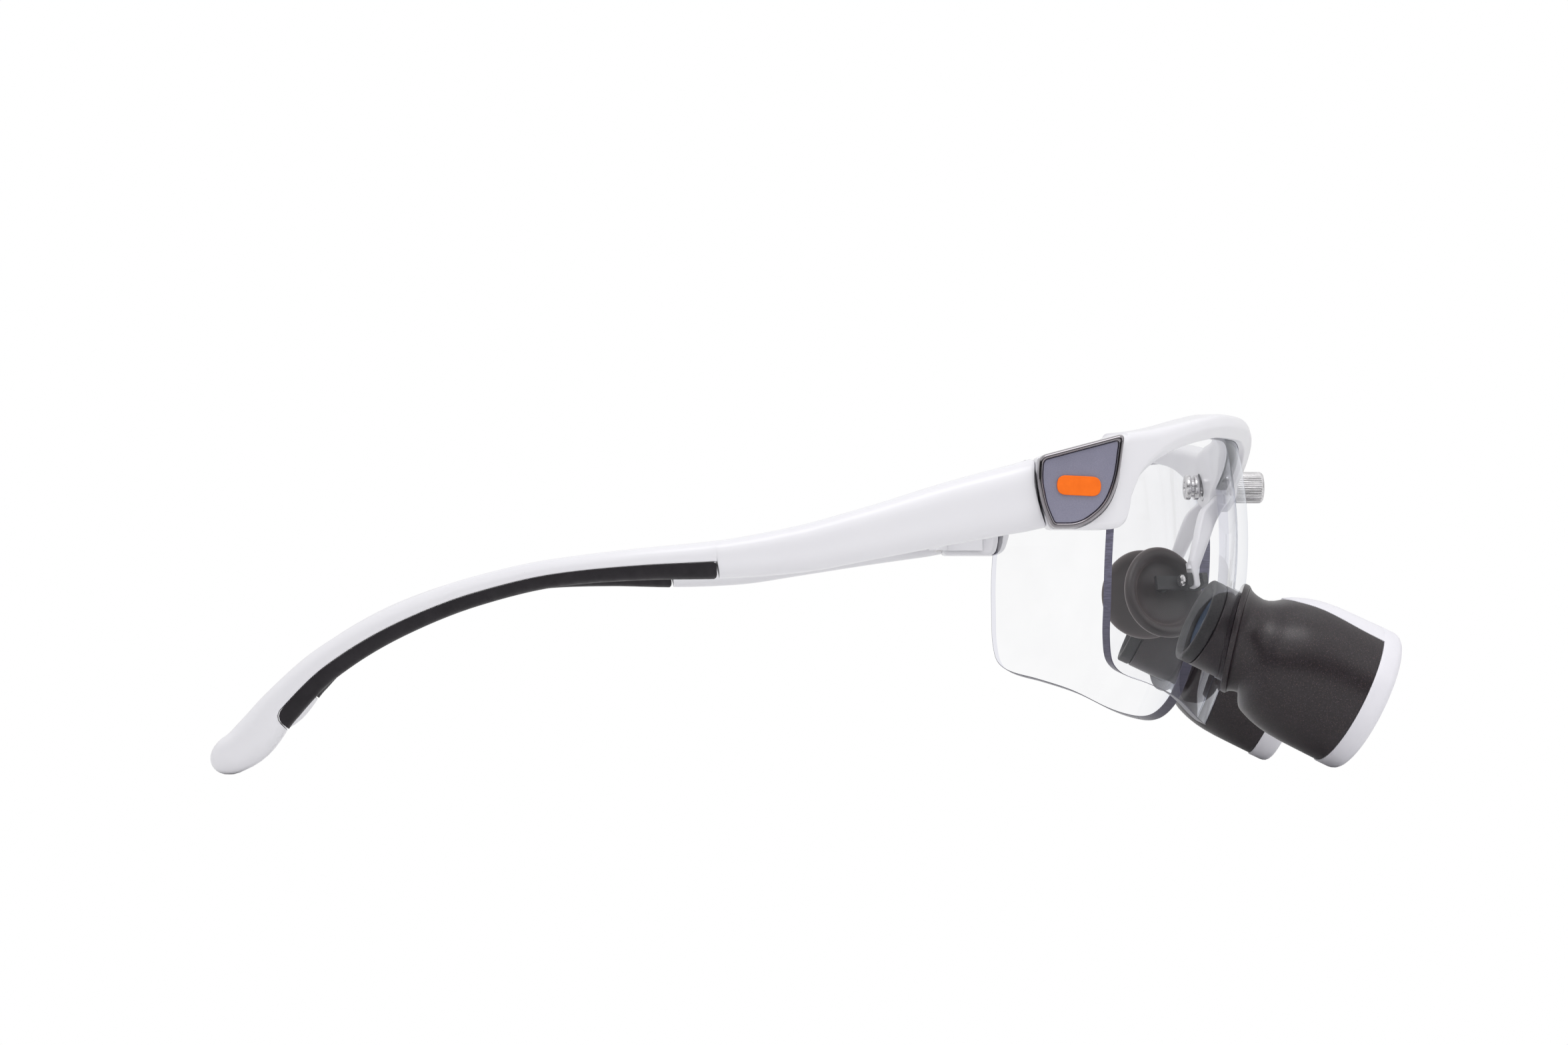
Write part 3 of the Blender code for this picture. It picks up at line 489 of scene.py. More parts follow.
def turned_steel():
    """Turned steel: fine streaks along the part's length and a few darker ones."""
    s = Shader("turned_steel", (0.7, 0.69, 0.7), 0.22, 1)
    streaks = s.noise(0.1, 4, (1, 0.06, 1))
    s.drive("Base Color", streaks, (0.42, 0.41, 0.42), (0.8, 0.79, 0.8), stop=0.65)
    s.drive("Roughness", streaks, 0.34, 0.16)
    s.bump(streaks, 0.2, 0.01)
    return s


def black_matte():
    """Matt black, anti-reflection plastic with a light grain."""
    s = Shader("black_matte", (0.02, 0.02, 0.022), 0.48, Specular_IOR_Level=0.4)
    s.drive("Roughness", s.noise(1.5, 4), 0.38, 0.58)
    s.drive("Base Color", s.noise(0.3), (0.016, 0.016, 0.018), (0.032, 0.03, 0.032))
    s.bump(s.noise(0.12, 2), 0.2, 0.01)
    return s


def coated_glass():
    """Coated optic: dark from outside, with a blue-grey reflection that grows towards the edge."""
    s = Shader("coated_glass", (0.02, 0.025, 0.03), 0.04, Coat_Weight=1, Coat_Roughness=0.02,
               Coat_IOR=1.7)
    s.set("Coat Tint", (0.72, 0.82, 1, 1))
    s.colour(s.painted_edge_light(), (0.02, 0.024, 0.03), (0.1, 0.13, 0.17))
    s.drive("Roughness", s.noise(3), 0.02, 0.07, 0.4, 0.8)
    return s


def clear_lens():
    """A thin clear lens: it lets light straight through and mirrors more at grazing angles."""
    tint = np.array([0.985, 0.985, 0.988])
    s = Shader("clear_lens", (1, 1, 1), 0.1)
    stain = s.ramp(s.noise(7, 5), (0.35, tint * 0.985), (0.7, tint))
    clear = s.node("ShaderNodeBsdfTransparent", {"Color": stain})
    shine = s.node("ShaderNodeBsdfGlossy", {"Roughness": 0, "Color": (0.93, 0.95, 1, 1)})
    fresnel = s.node("ShaderNodeFresnel", {"IOR": 1.32})
    share = s.math("MULTIPLY", fresnel.outputs["Fac"], s.math("SUBTRACT", 1, s.rear()))
    s.tree.nodes.remove(s.bsdf)
    s.surface(share, clear.outputs["BSDF"], shine.outputs["BSDF"])
    return s


def lens_edge():
    """Ground edge of the carrier lens: blue-grey, with painted shade that makes it darker towards the bottom
    and lighter towards the top, and fine ticks.
    """
    s = Shader("lens_edge", (0.13, 0.125, 0.2), 0.3)
    split = s.node("ShaderNodeSeparateXYZ", {"Vector": s.coords})
    reach = {"From Min": 14 * MM, "From Max": 42 * MM, "Value": split.outputs["Z"]}
    height = s.node("ShaderNodeMapRange", reach).outputs["Result"]
    # Painted shade: the edge's colour runs from dark at the bottom to light at the top, as though lit from
    # above.
    tone = s.ramp(height, (0, (0.06, 0.055, 0.09)), (0.45, (0.11, 0.105, 0.165)),
                  (1, (0.26, 0.25, 0.35)))
    ticks = s.noise(0.2, 2, (0.12, 0.12, 1))
    s.colour(s.ramp(ticks, (0.38, 0), (0.62, 0.55)), tone, (0.035, 0.032, 0.055))
    s.bump(ticks, 0.3, 0.02)
    inside = s.node("ShaderNodeBsdfTransparent", {"Color": (0.84, 0.84, 0.89, 1)})
    s.surface(s.rear(), s.bsdf.outputs["BSDF"], inside.outputs["BSDF"])
    return s


# Each finish under the name of its material slot.
FINISH = {slot: finish().material for slot, finish in {
    "frame_white": gloss_white, "cap_white": satin_white, "rubber_black": black_rubber,
    "rubber_brown": brown_rubber, "housing_paint": flake_paint, "dark_chrome": dark_chrome,
    "panel_grey": panel_grey, "badge_orange": orange_enamel, "steel": turned_steel,
    "black_matte": black_matte, "optic_glass": coated_glass, "lens_clear": clear_lens,
    "lens_edge": lens_edge}.items()}


# ---- carrier lens

def on_sphere(r, angle, radius):
    """Where a line parallel to the telescope axis, at (r, angle) from it, meets a lens sphere."""
    start = tube_point(0, r, angle) - LENS_CENTRE
    along = float(start @ AXIS)
    reach = sqrt(along * along - float(start @ start) + radius * radius) - along
    return tube_point(reach, r, angle)


# Yaw and pitch of the outline from the lens centre, in degrees.
LENS_OUTLINE = [
    (55.4, -4), (54.9, -10.6), (54.3, -14), (53, -16.9), (50.4, -18.5), (44.5, -19.8), (36.4, -21.6),
    (26.5, -24.2), (19.3, -25.4), (11, -25.9), (4.5, -25.3), (-1.6, -23.4), (-5, -21.4), (-6.8, -17.5),
    (-7.4, -11), (-7.6, -3), (-7.6, 4), (-7.2, 7.6), (-5, 9.4), (0, 11), (5, 12.6), (11, 14), (18, 14.6),
    (26, 14.6), (33, 14), (39, 13.2), (43.5, 12.2), (47, 11.2), (50, 10), (52.2, 8.2), (53.8, 5.8),
    (54.9, 2.6)]
LENS_MIDDLE = (25, -5)
LENS_BEVEL = 0.12
LENS_SHARES = [0, 0.03, 0.07, 0.13, 0.2, 0.28, 0.37, 0.47, 0.57, 0.67, 0.77, 0.87, 0.95, 1]


def lens_outline(growth=0.0, steps=6):
    """The outline as directions from the lens centre, grown by millimetres."""
    places = []
    for point in closed_curve(LENS_OUTLINE, steps):
        offset = point - LENS_MIDDLE
        scale = 1 + degrees(growth / LENS_RADIUS) / np.linalg.norm(offset)
        places.append(LENS_MIDDLE + offset * scale)
    return [direction(yaw, pitch) for yaw, pitch in places]


def lens_rings(radius, shares, inner, outer):
    """Rings on a sphere, each a share of the way from the inner directions to the outer ones."""
    return [[LENS_CENTRE + radius * unit(a * (1 - share) + b * share) for a, b in zip(inner, outer)]
            for share in shares]


def carrier_lens_shape():
    """A smooth shell with a hole and a ground edge, and the faces that belong to the edge."""
    whole = lens_outline()
    inset = lens_outline(-LENS_BEVEL)
    angles = []
    for towards in whole:
        offset = LENS_CENTRE + LENS_RADIUS * towards - EYE
        angles.append(atan2(float(offset @ AXIS_SIDE), float(offset @ AXIS_UP)))

    def face_rings(radius, shares):
        hole = [(on_sphere(HOLE_RADIUS, angle, radius) - LENS_CENTRE) / radius for angle in angles]
        return lens_rings(radius, shares, hole, inset)

    inner_radius = LENS_RADIUS - LENS_THICKNESS
    rings = face_rings(LENS_RADIUS, LENS_SHARES)
    edge_first = len(rings) - 1
    for radius in (LENS_RADIUS - LENS_BEVEL, inner_radius + LENS_BEVEL):
        rings.append([LENS_CENTRE + radius * towards for towards in whole])
    rings += face_rings(inner_radius, reversed(LENS_SHARES))
    return skin(rings, loop=True), range(edge_first * len(whole), (edge_first + 3) * len(whole))


def build_carrier_lens(side):
    shape, edge_faces = carrier_lens_shape()
    item = make_piece("clear_lens", shape, "lens_clear", "carrier_lens", side)
    item.data.materials.append(FINISH["lens_edge"])
    for index in edge_faces:
        item.data.polygons[index].material_index = 1


def lens_slot_shape():
    """The lens with a little clearance and no opening: it cuts the slot in the brow."""
    growth = 0.10
    outline = lens_outline(growth, 4)
    middle = [direction(*LENS_MIDDLE)] * len(outline)
    shares = (0.03, 0.3, 0.6, 0.85, 1)
    front = lens_rings(LENS_RADIUS + growth, shares, middle, outline)
    rear = lens_rings(LENS_RADIUS - LENS_THICKNESS - growth, reversed(shares), middle, outline)
    return skin(front + rear)


# ---- frame front

# Heights and sizes of the brow against the angle along its arc.
brow_top = smooth_curve([
    (-16, 49.8), (-8, 50.6), (0, 51.5), (10, 52.5), (20, 53.1), (28, 53), (36, 52), (45, 50.3),
    (52, 49.2), (60, 48.4)])
brow_bottom = smooth_curve([
    (-16, 40.2), (-11, 41.2), (-8, 43), (-2, 45.6), (5, 47.9), (11, 49), (17, 49.6), (28, 49.5),
    (35, 48.7), (41, 47.5), (46, 45.9), (50, 43.9), (52, 42.2), (53.2, 40.2), (54, 38.6), (57, 36.9),
    (62, 35.9), (69, 35.3), (80, 35), (90, 35)])
brow_depth = smooth_curve([(-16, BRIDGE_DEPTH), (-8, BRIDGE_DEPTH), (4, BROW_DEPTH), (45, BROW_DEPTH),
                           (TURN_ANGLE, END_DEPTH)])
lip_width = smooth_curve([(-16, 0.8), (0, 1.5), (40, 1.5), (52, 1.2), (60, 0.5)])
crease_rise = smooth_curve([(-16, 0.7), (0, 1.5), (45, 1.5), (53, 1.2), (60, 0.6)])
# Endpiece: its top against Y, and the Y of its rear edge against height.
end_top = smooth_curve([(-42, 48.7), (-37, 47.7), (-28, 45.2)])
end_line = smooth_curve([(34, -30.8), (35.4, -30), (38, -28.9), (42, -28.1), (46, -28.4)])


def frame_section(low, high, depth, lip, rise):
    """Section as (offset from the outer face, height): chamfered lower lip, full rounded top."""
    corners = [(-lip, low), (0, low + rise), (0, high), (-depth, high), (-depth, low)]
    return rounded_outline(corners, [0.22, 0.55, 1.5, 1.5, 0.9], 6)


def brow_section(station, top):
    """Section of the brow at an angle along the arc, under the given top."""
    return frame_section(brow_bottom(station), top, brow_depth(station), lip_width(station),
                         crease_rise(station))


def frame_rings():
    """Sections from the middle of the bridge to the rear of the left endpiece."""
    rings = []

    def lean(z, weight):
        return weight * (sqrt(FRAME_RADIUS ** 2 - (z - LENS_CENTRE[2]) ** 2) - FRAME_RADIUS)

    def add_arc_ring(x, y, radius, weight, station, top):
        heading = radians(station)
        ring = []
        for offset, z in brow_section(station, top):
            reach = radius + lean(z, weight) + offset
            ring.append((x + reach * sin(heading), y - reach * cos(heading), z))
        rings.append(ring)

    bridge = radians(BRIDGE_ANGLE)
    bridge_x = LENS_CENTRE[0] + FRAME_RADIUS * sin(bridge)
    for share in np.linspace(0, 1, 9)[:-1]:
        station = BRIDGE_ANGLE * (2 - share)
        ring = []
        for offset, z in brow_section(station, brow_top(station)):
            y = LENS_CENTRE[1] - (FRAME_RADIUS + lean(z, 1)) * cos(bridge) - offset
            ring.append((bridge_x * share, y, z))
        rings.append(ring)

    for station in np.linspace(BRIDGE_ANGLE, TURN_ANGLE, 78):
        weight = 1 - max(0, (station - 44) / (TURN_ANGLE - 44)) * 0.8
        add_arc_ring(LENS_CENTRE[0], LENS_CENTRE[1], FRAME_RADIUS, weight, station, brow_top(station))

    for station in np.linspace(TURN_ANGLE, 90, 19)[1:]:
        weight = 0.2 * (90 - station) / (90 - TURN_ANGLE)
        top = end_top(TURN_Y - TURN_RADIUS * cos(radians(station)))
        add_arc_ring(TURN_X, TURN_Y, TURN_RADIUS, weight, station, top)

    for share, shrink in ((0.25, 0), (0.5, 0), (0.75, 0), (0.94, 0), (0.985, 0.1), (1, 0.3)):
        ring = []
        top = end_top(TURN_Y + share * 9) - shrink
        for offset, z in frame_section(END_BOTTOM + shrink, top, END_DEPTH - shrink, 0.5, 0.6):
            ring.append((END_X + offset - shrink / 2, TURN_Y + share * (end_line(z) - TURN_Y), z))
        rings.append(ring)
    return rings


NOSE_SPLAY = Matrix.Rotation(radians(-15), 4, "Y")
NOSE_YAW = Matrix.Rotation(radians(-22), 4, "Z")
NOSE_PIVOT = np.array(JOINTS["left_nose_pad_rock"]["pos_m"]) / MM
NOSE_FRAME = Matrix.Translation(Vector(NOSE_PIVOT)) @ (NOSE_YAW @ NOSE_SPLAY)


def nose_point(x, y, z):
    """From the left nose pad's frame: x away from the nose, y along the pivot pin, z up the leg."""
    return tuple(NOSE_FRAME @ Vector((x, y, z)))


def pin_point(s, r, angle):
    """Point about the left nose pad's pivot pin; s runs along the pin."""
    return nose_point(r * cos(angle), s, r * sin(angle))


def rounded_box(u, v, radius, steps):
    """A rounded rectangle with the given half-widths."""
    return rounded_outline([(-u, -v), (u, -v), (u, v), (-u, v)], radius, steps)


# Down the nose leg: x, y, z, half-width in x and in y, and turn about Z in degrees.
LEG_STATIONS = np.array([
    (10.75, -60.85, 30.85, 0.9, 0.95, -22), (10, -61.6, 33, 0.9, 1.1, -22),
    (9, -62.5, 35.5, 0.95, 1.3, -20), (7.6, -63.4, 38, 1, 1.5, -15), (6.7, -64.5, 40.2, 1.1, 1.7, -8),
    (6.3, -66.2, 42.2, 1.4, 1.4, 0), (6.2, -66.9, 44.5, 1.4, 1.1, 0)])


def leg_shape():
    """Nose leg: a slim blade from the underside of the bridge down to the pivot tab."""
    heights = LEG_STATIONS[:, 2]
    curves = [smooth_curve(list(zip(heights, LEG_STATIONS[:, k]))) for k in (0, 1, 3, 4, 5)]
    rings = []
    for z in [30.7, *np.linspace(30.85, 44.5, 24)]:
        x, y, half_x, half_y, yaw = (curve(z) for curve in curves)
        shrink = 0.35 if z < 30.8 else 0.0
        turn = Matrix.Rotation(radians(yaw), 4, "Z")
        section = rounded_box(half_x - shrink, half_y - shrink, 0.85, 5)
        rings.append([tuple(Vector((x, y, z)) + turn @ Vector((p, q, 0))) for p, q in section])
    return skin(rings)


def tab_shape():
    """The thin end of the nose leg that the pivot pin runs through."""
    rings = []
    for z, shrink in ((-1.2, 0.3), (-1.05, 0.1), (-0.8, 0), (2, 0), (3, 0)):
        section = rounded_box(0.95 - shrink, 0.6 - shrink, 0.25, 4)
        rings.append([nose_point(u, v, z) for u, v in section])
    return skin(rings)


def build_frame_front():
    half = frame_rings()
    mirrored = [[(-x, y, z) for x, y, z in ring] for ring in reversed(half[1:])]
    item = make_mesh("frame_shell", skin(mirrored + half))
    boss = turned([(-68.9, 2.6), (-68.85, 3), (-68.6, 3.25), (-64.5, 3.4)], 64, False, screw_point)
    screw_hole = turned([(-72, 2.2), (-60, 2.2)], 48, False, screw_point)
    pin_hole = turned([(-2, 0.7), (2, 0.7)], 24, False, pin_point)
    steps = [("UNION", boss, 1)]
    for side in SIDES.values():
        steps += [("UNION", shape, side) for shape in (leg_shape(), tab_shape())]
    for side in SIDES.values():
        steps += [("DIFFERENCE", shape, side) for shape in (lens_slot_shape(), plaque_seat_shape(), pin_hole)]
    steps.append(("DIFFERENCE", screw_hole, 1))
    carve(item, steps)
    finish_piece(item, "frame_white", "frame_front", sharp=30)


# ---- plaque

PLAQUE_FRONT = [(-40.9, 48.7), (-40, 42), (-38.4, 38), (-34.6, 35.1)]
PLAQUE_STEPS = 7                # parts of each rounded corner
BAR_CORNERS = [(-37.3, 39.6), (-31, 39.9), (-31.1, 42.7), (-37.4, 42.4)]


def inset_corners(corners, amount):
    """Corners of a convex polygon whose sides have all moved inwards by the same amount."""
    points = np.array(corners, float)
    middle = points.mean(axis=0)
    lines = []
    for i in range(len(points)):
        along = points[(i + 1) % len(points)] - points[i]
        normal = unit(np.array([-along[1], along[0]]))
        if normal @ (middle - points[i]) < 0:
            normal = -normal
        lines.append((normal, float(normal @ points[i]) + amount))
    moved = []
    for i in range(len(points)):
        normals, offsets = zip(lines[i - 1], lines[i])
        moved.append(tuple(np.linalg.solve(np.array(normals), offsets)))
    return moved


def plaque_outline(inset=0.0):
    """Sloping top, slanted front edge, short bottom and slightly bowed rear edge."""
    corners = [(-28.5, 45.4), *PLAQUE_FRONT, (-30.3, 35.1), (-28.95, 38.2), (-28.2, 42)]
    radii = [1.1, 1.1, 2.4, 2.4, 2.2, 0.8, 1.6, 1.8]
    shrunk = [max(radius - 0.6 * inset, 0.35) for radius in radii]
    return rounded_outline(inset_corners(corners, inset), shrunk, PLAQUE_STEPS)


def plaque_seat_shape():
    """The step that the plaque sits in: it follows the front edge and is open at the other sides."""
    corner = PLAQUE_STEPS + 1
    front = plaque_outline(-0.2)[2 * corner:5 * corner]
    upper = (PLAQUE_FRONT[0][0] - 0.2, PLAQUE_FRONT[0][1])
    outline = [(-22, 56), (upper[0], 56), upper, *front, (-28, 30), (-22, 30)]
    return skin([[(END_X + height, u, v) for u, v in outline] for height in (-0.62, 3)])


def bar_outline(inset):
    return rounded_outline(inset_corners(BAR_CORNERS, inset), 1.35, 8)


def build_plaque(side):
    """Bezel, panel and plain bar, as (inset, height above the endpiece's face) levels."""
    def stack(name, outline, levels, finish, node, sharp=32):
        rings = [[(END_X + height, u, v) for u, v in outline(inset)] for inset, height in levels]
        make_piece(name, skin(rings), finish, node, side, sharp=sharp)

    stack("bezel", plaque_outline, [
        (0, -0.5), (0, 0.3), (0.03, 0.46), (0.1, 0.6), (0.22, 0.72), (0.36, 0.79), (0.46, 0.8),
        (0.56, 0.77), (0.66, 0.68), (0.71, 0.56), (0.72, 0.4), (0.72, -0.05)],
        "dark_chrome", "plaque_bezel", 50)
    stack("panel", plaque_outline, [(0.8, 0.05), (0.8, 0.42), (0.86, 0.48), (1, 0.5)],
          "panel_grey", "plaque_panel")
    stack("bar", bar_outline, [(0, 0.6), (0, 0.76), (0.03, 0.81), (0.08, 0.84), (0.16, 0.85)],
          "badge_orange", "plaque_badge")


# ---- temples

# Middle height, half-height, X of the middle and half-width of an arm against Y.
temple_height = smooth_curve([
    (-31, 40.6), (-17, 37.5), (-5, 34.5), (6, 32), (17, 30.6), (28, 29.95), (40, 28.75), (51.4, 26.15),
    (62.5, 21.9), (73, 15.65), (79.5, 9.4), (83, 5.2), (84.8, 3.65), (86.6, 2.6), (92, -0.2)])
temple_half = smooth_curve([
    (-31, 5.15), (-17, 4.5), (-5, 3.8), (6, 3.3), (17, 2.7), (28, 2.25), (40, 1.98), (62.5, 2.28),
    (73, 2.5), (79.5, 2.9), (83, 3.2), (85.8, 2.85)])
temple_mid = smooth_curve([
    (-31, 70.2), (-10, 71.3), (5, 72.1), (17, 72.4), (28, 72), (40, 70.6), (51, 68.4), (62, 65.6),
    (73, 62), (80, 59.4), (87, 56.6), (92, 54.6)])
temple_width = smooth_curve([
    (-31, 3), (-10, 2.65), (10, 2.35), (28, 2.1), (62, 2), (80, 2.3), (86.6, 2.1)])
PAD_START = 17.4
PAD_END = 82.0
PAD_LINE = -0.1                 # height of the pad's upper edge, in half-heights
TIP_CENTRE = 85.8
TIP_LENGTH = 3.9                # length of the rounded end
TEMPLE_CLIMB = {"left": 0.035, "right": 0.0}    # extra rise of the arm per mm behind the hinge


def oval_section(width, height, low, high, ends=0.0):
    """Rounded section between two heights (in half-heights), right side up and left side down."""
    power = 2.6
    steps = 16
    right = []
    for k in range(steps + 1):
        level = low + (high - low) * (1 - cos(pi * k / steps)) / 2
        half = width * max(0.02, (1 - min(1, abs(level)) ** power) ** (1 / power))
        right.append([half, level * height])
    for k in range(4):
        right[k][0] *= 1 - ends * (1 - k / 4) ** 2
    return right + [[-half, level] for half, level in reversed(right)]


def temple_ring(y, low, high, scale=1.0, advance=0.0, ends=0.0, swell=0.0):
    """A section square to the temple's side view, at y along it."""
    tangent = unit(np.array([1, (temple_height(y + 0.2) - temple_height(y - 0.2)) / 0.4]))
    middle = np.array([y, temple_height(y)]) + tangent * advance
    width = temple_width(y) * scale + swell
    height = temple_half(y) * scale + swell
    ring = []
    for across, up in oval_section(width, height, low, high, ends):
        place = middle + up * np.array([-tangent[1], tangent[0]])
        ring.append((temple_mid(place[0]) + across, place[0], place[1]))
    return ring


def temple_arm_shape():
    gap = 0.10
    rings = []
    for inset, advance in ((0.55, 0), (0.25, 0.06), (0.08, 0.25), (0, 0.6)):
        ring = temple_ring(-29, -1, 1, 1.0 - inset / 5)
        rings.append([(x, end_line(z) + gap + advance, z) for x, y, z in ring])
    rings += [temple_ring(y, -1, 1) for y in np.arange(-26, PAD_START - 1, 1)]
    rings.append(temple_ring(PAD_START - 0.45, -1, 1))
    rings.append(temple_ring(PAD_START - 0.25, -0.98, 1))
    rings += [temple_ring(y, PAD_LINE, 1, ends=0.05) for y in np.arange(PAD_START, PAD_END - 2, 1)]
    for y, drop in ((-2.4, 0), (-1.95, 0.08), (-1.65, 0.25), (-1.55, 0.45), (-1.5, 0.7), (-1.45, 0.88)):
        rings.append(temple_ring(PAD_END + y, PAD_LINE - drop, 1))
    rings += [temple_ring(y, -1, 1) for y in (80.9, 81.7, 82.4, 83.1, 84, 84.9, TIP_CENTRE)]
    for turn in np.radians((12, 24, 36, 48, 60, 70, 79, 86)):
        rings.append(temple_ring(TIP_CENTRE, -1, 1, cos(turn), TIP_LENGTH * sin(turn)))
    return skin(rings)


def temple_pad_shape():
    line = PAD_LINE - 0.03
    rings = []
    for y, inset in ((PAD_START + 0.1, 0.35), (PAD_START + 0.2, 0.12), (PAD_START + 0.45, 0)):
        rings.append(temple_ring(y, -1 + inset * 0.6, line - inset * 0.5, swell=0.06 - 0.1 * inset))
    rings += [temple_ring(y, -1, line, swell=0.06) for y in np.arange(PAD_START + 1.4, PAD_END - 3, 1)]
    for y, drop in ((-3, 0), (-2.45, 0.03), (-2.05, 0.12), (-1.78, 0.28), (-1.65, 0.45)):
        rings.append(temple_ring(PAD_END + y, -1, line - drop, swell=0.04))
    return skin(rings)


def build_temple(side):
    """Arm and pad, lifted in proportion to the distance behind the hinge."""
    hinge = JOINTS["left_temple_fold"]["pos_m"][1] / MM
    for name, shape, finish, node, sharp in (
            ("arm", temple_arm_shape(), "frame_white", "temple_arm", 40),
            ("arm_pad", temple_pad_shape(), "rubber_black", "temple_pad", 50)):
        points, faces = shape
        raised = [(x, y, z + TEMPLE_CLIMB[side] * (y - hinge)) for x, y, z in points]
        make_piece(name, (raised, faces), finish, node, side, f"{side}_temple", sharp)


# ---- telescopes

# Outside radius of the housing and half-width of the tongue, against the distance along the axis.
housing_outer = smooth_curve([
    (5, 7.1), (8, 7.2), (10, 8), (11.5, 9), (13, 9.7), (15, 10.4), (17.5, 10.9), (20, 11.1), (28, 11.25)])
tongue_half = smooth_curve([
    (10.9, 0), (11, 0.9), (11.4, 2), (12.5, 3.4), (15, 4.9), (19, 6.3), (22.5, 6.9), (27.2, 7.3)])
WAIST_RADIUS = 7.26
BELL_START = 13.0
SEGMENTS = 128
TONGUE_COLUMNS = 14


def tube_ring(s, r):
    """Ring at s along the telescope axis."""
    return [tube_point(s, r, angle) for angle in around(SEGMENTS)]


def flange_ring(r, height):
    """Ring at a height in front of the lens surface."""
    return [on_sphere(r, angle, LENS_RADIUS + height) for angle in around(SEGMENTS)]


def housing_shape():
    """Barrel behind the lens, collar against it, narrow waist and bell, open at both ends."""
    rings = [tube_ring(2.05, BARREL_RADIUS - 0.1), tube_ring(2.2, BARREL_RADIUS)]
    for r, height in ((BARREL_RADIUS, -LENS_THICKNESS - 0.3), (BARREL_RADIUS, 0.85), (7.95, 0.92),
                      (7.8, 1.02), (7.62, 1.25), (7.45, 1.6), (7.33, 2), (WAIST_RADIUS, 2.5)):
        rings.append(flange_ring(r, height))
    starts = [float((point - EYE) @ AXIS) for point in rings[-1]]
    for share in (0.1, 0.25, 0.4, 0.55, 0.7, 0.85):
        ease = (1 - share) ** 3
        ring = []
        for start, angle in zip(starts, around(SEGMENTS)):
            s = start + (BELL_START - start) * share
            radius = housing_outer(s) * (1 - ease) + min(housing_outer(s), WAIST_RADIUS) * ease
            ring.append(tube_point(s, radius, angle))
        rings.append(ring)
    for s in (BELL_START, 13.7, 14.5, 15.4, 16.5, 18, 20, 22.5, 25, CAP_START - 0.1):
        rings.append(tube_ring(s, housing_outer(s)))
    for s, r in ((CAP_START - 0.08, 10.5), (28.8, 10.4), (28.8, 9.7), (25.5, 9.7), (25.5, 8.9), (20, 8.9),
                 (16.5, 8.6), (14, 8), (12, 7.2), (9.5, 5.6), (2.05, 5.6)):
        rings.append(tube_ring(s, r))
    return skin(rings, loop=True)


def cap_outer(s):
    """Outside radius of the cap and its tongue: just proud of the housing, then the full cap radius."""
    blend = min(1, max(0, (s - 24) / (CAP_START - 24)))
    return (housing_outer(s) + 0.12) * (1 - blend) + CAP_RADIUS * blend


TONGUE_ROWS = [10.93, 11, 11.12, 11.3, 11.6, 12, 12.5, 13.2, 14, 15, 16.2, 17.5, 19, 20.5, 22, 23.5, 25, 26]


def tongue_angle(s, column):
    """Angle of a tongue column at s; the last row meets the ring's own columns."""
    end = 2 * pi * TONGUE_COLUMNS / SEGMENTS
    full = tongue_half(s) / housing_outer(s)
    reach = full * end / (tongue_half(CAP_START) / housing_outer(CAP_START))
    return reach * column / TONGUE_COLUMNS


def cap_shape():
    """Front ring and tongue as one skin: the tongue grows out of the ring's rear edge."""
    profile = [(CAP_START, CAP_RADIUS - 0.06), (CAP_START + 0.08, CAP_RADIUS), (27.5, CAP_RADIUS),
               (28.4, CAP_RADIUS), (28.85, CAP_RADIUS - 0.06), (29.3, 11.16), (29.62, 10.85), (29.82, 10.45),
               (CAP_END, 10), (CAP_END, 9.6), (29.82, 9.42), (29.6, 9.3), (29.1, 9.3), (29.1, 10.7),
               (CAP_START, 10.7)]
    last = len(profile) - 1
    points = [point for s, r in profile for point in tube_ring(s, r)]
    faces = []

    def on_ring(row, columns):
        """Numbers of the front ring's points along a row."""
        return [row * SEGMENTS + column % SEGMENTS for column in columns]

    def join(low, high):
        """Faces between two rows of points."""
        for k in range(len(low) - 1):
            faces.append((low[k], low[k + 1], high[k + 1], high[k]))

    for row in range(last):
        join(on_ring(row, range(SEGMENTS + 1)), on_ring(row + 1, range(SEGMENTS + 1)))
    beside_tongue = range(TONGUE_COLUMNS, SEGMENTS - TONGUE_COLUMNS + 1)
    join(on_ring(last, beside_tongue), on_ring(0, beside_tongue))

    columns = range(-TONGUE_COLUMNS, TONGUE_COLUMNS + 1)
    outer = []
    inner = []
    for s in TONGUE_ROWS:
        for store, radius in ((outer, cap_outer(s)), (inner, min(housing_outer(s) - 0.42, 10.7))):
            store.append(range(len(points), len(points) + len(columns)))
            for column in columns:
                edge = max(0, abs(column) / TONGUE_COLUMNS - 0.86) * 0.5 if store is outer else 0.0
                points.append(tube_point(s, radius - edge, tongue_angle(s, column)))
    outer.append(on_ring(0, columns))
    inner.append(on_ring(last, columns))
    for grid in (outer, inner):
        for low, high in zip(grid, grid[1:]):
            join(low, high)
    for k in (0, -1):
        join([row[k] for row in outer], [row[k] for row in inner])
    join(outer[0], inner[0])
    return points, faces


def tongue_cutter_shape():
    """The tongue with a hair of clearance, for the recess in the housing."""
    rings = []
    for s in [*TONGUE_ROWS, 26.9]:
        place = s - 0.1 if s == TONGUE_ROWS[0] else s
        growth = 1 + 0.07 / max(tongue_half(s), 0.5)
        angles = [tongue_angle(s, column) * growth for column in range(-TONGUE_COLUMNS, TONGUE_COLUMNS + 1)]
        upper = [tube_point(place, housing_outer(place) + 1.5, angle) for angle in angles]
        lower = [tube_point(place, housing_outer(place) - 0.5, angle) for angle in angles]
        rings.append(upper + lower[::-1])
    return skin(rings)


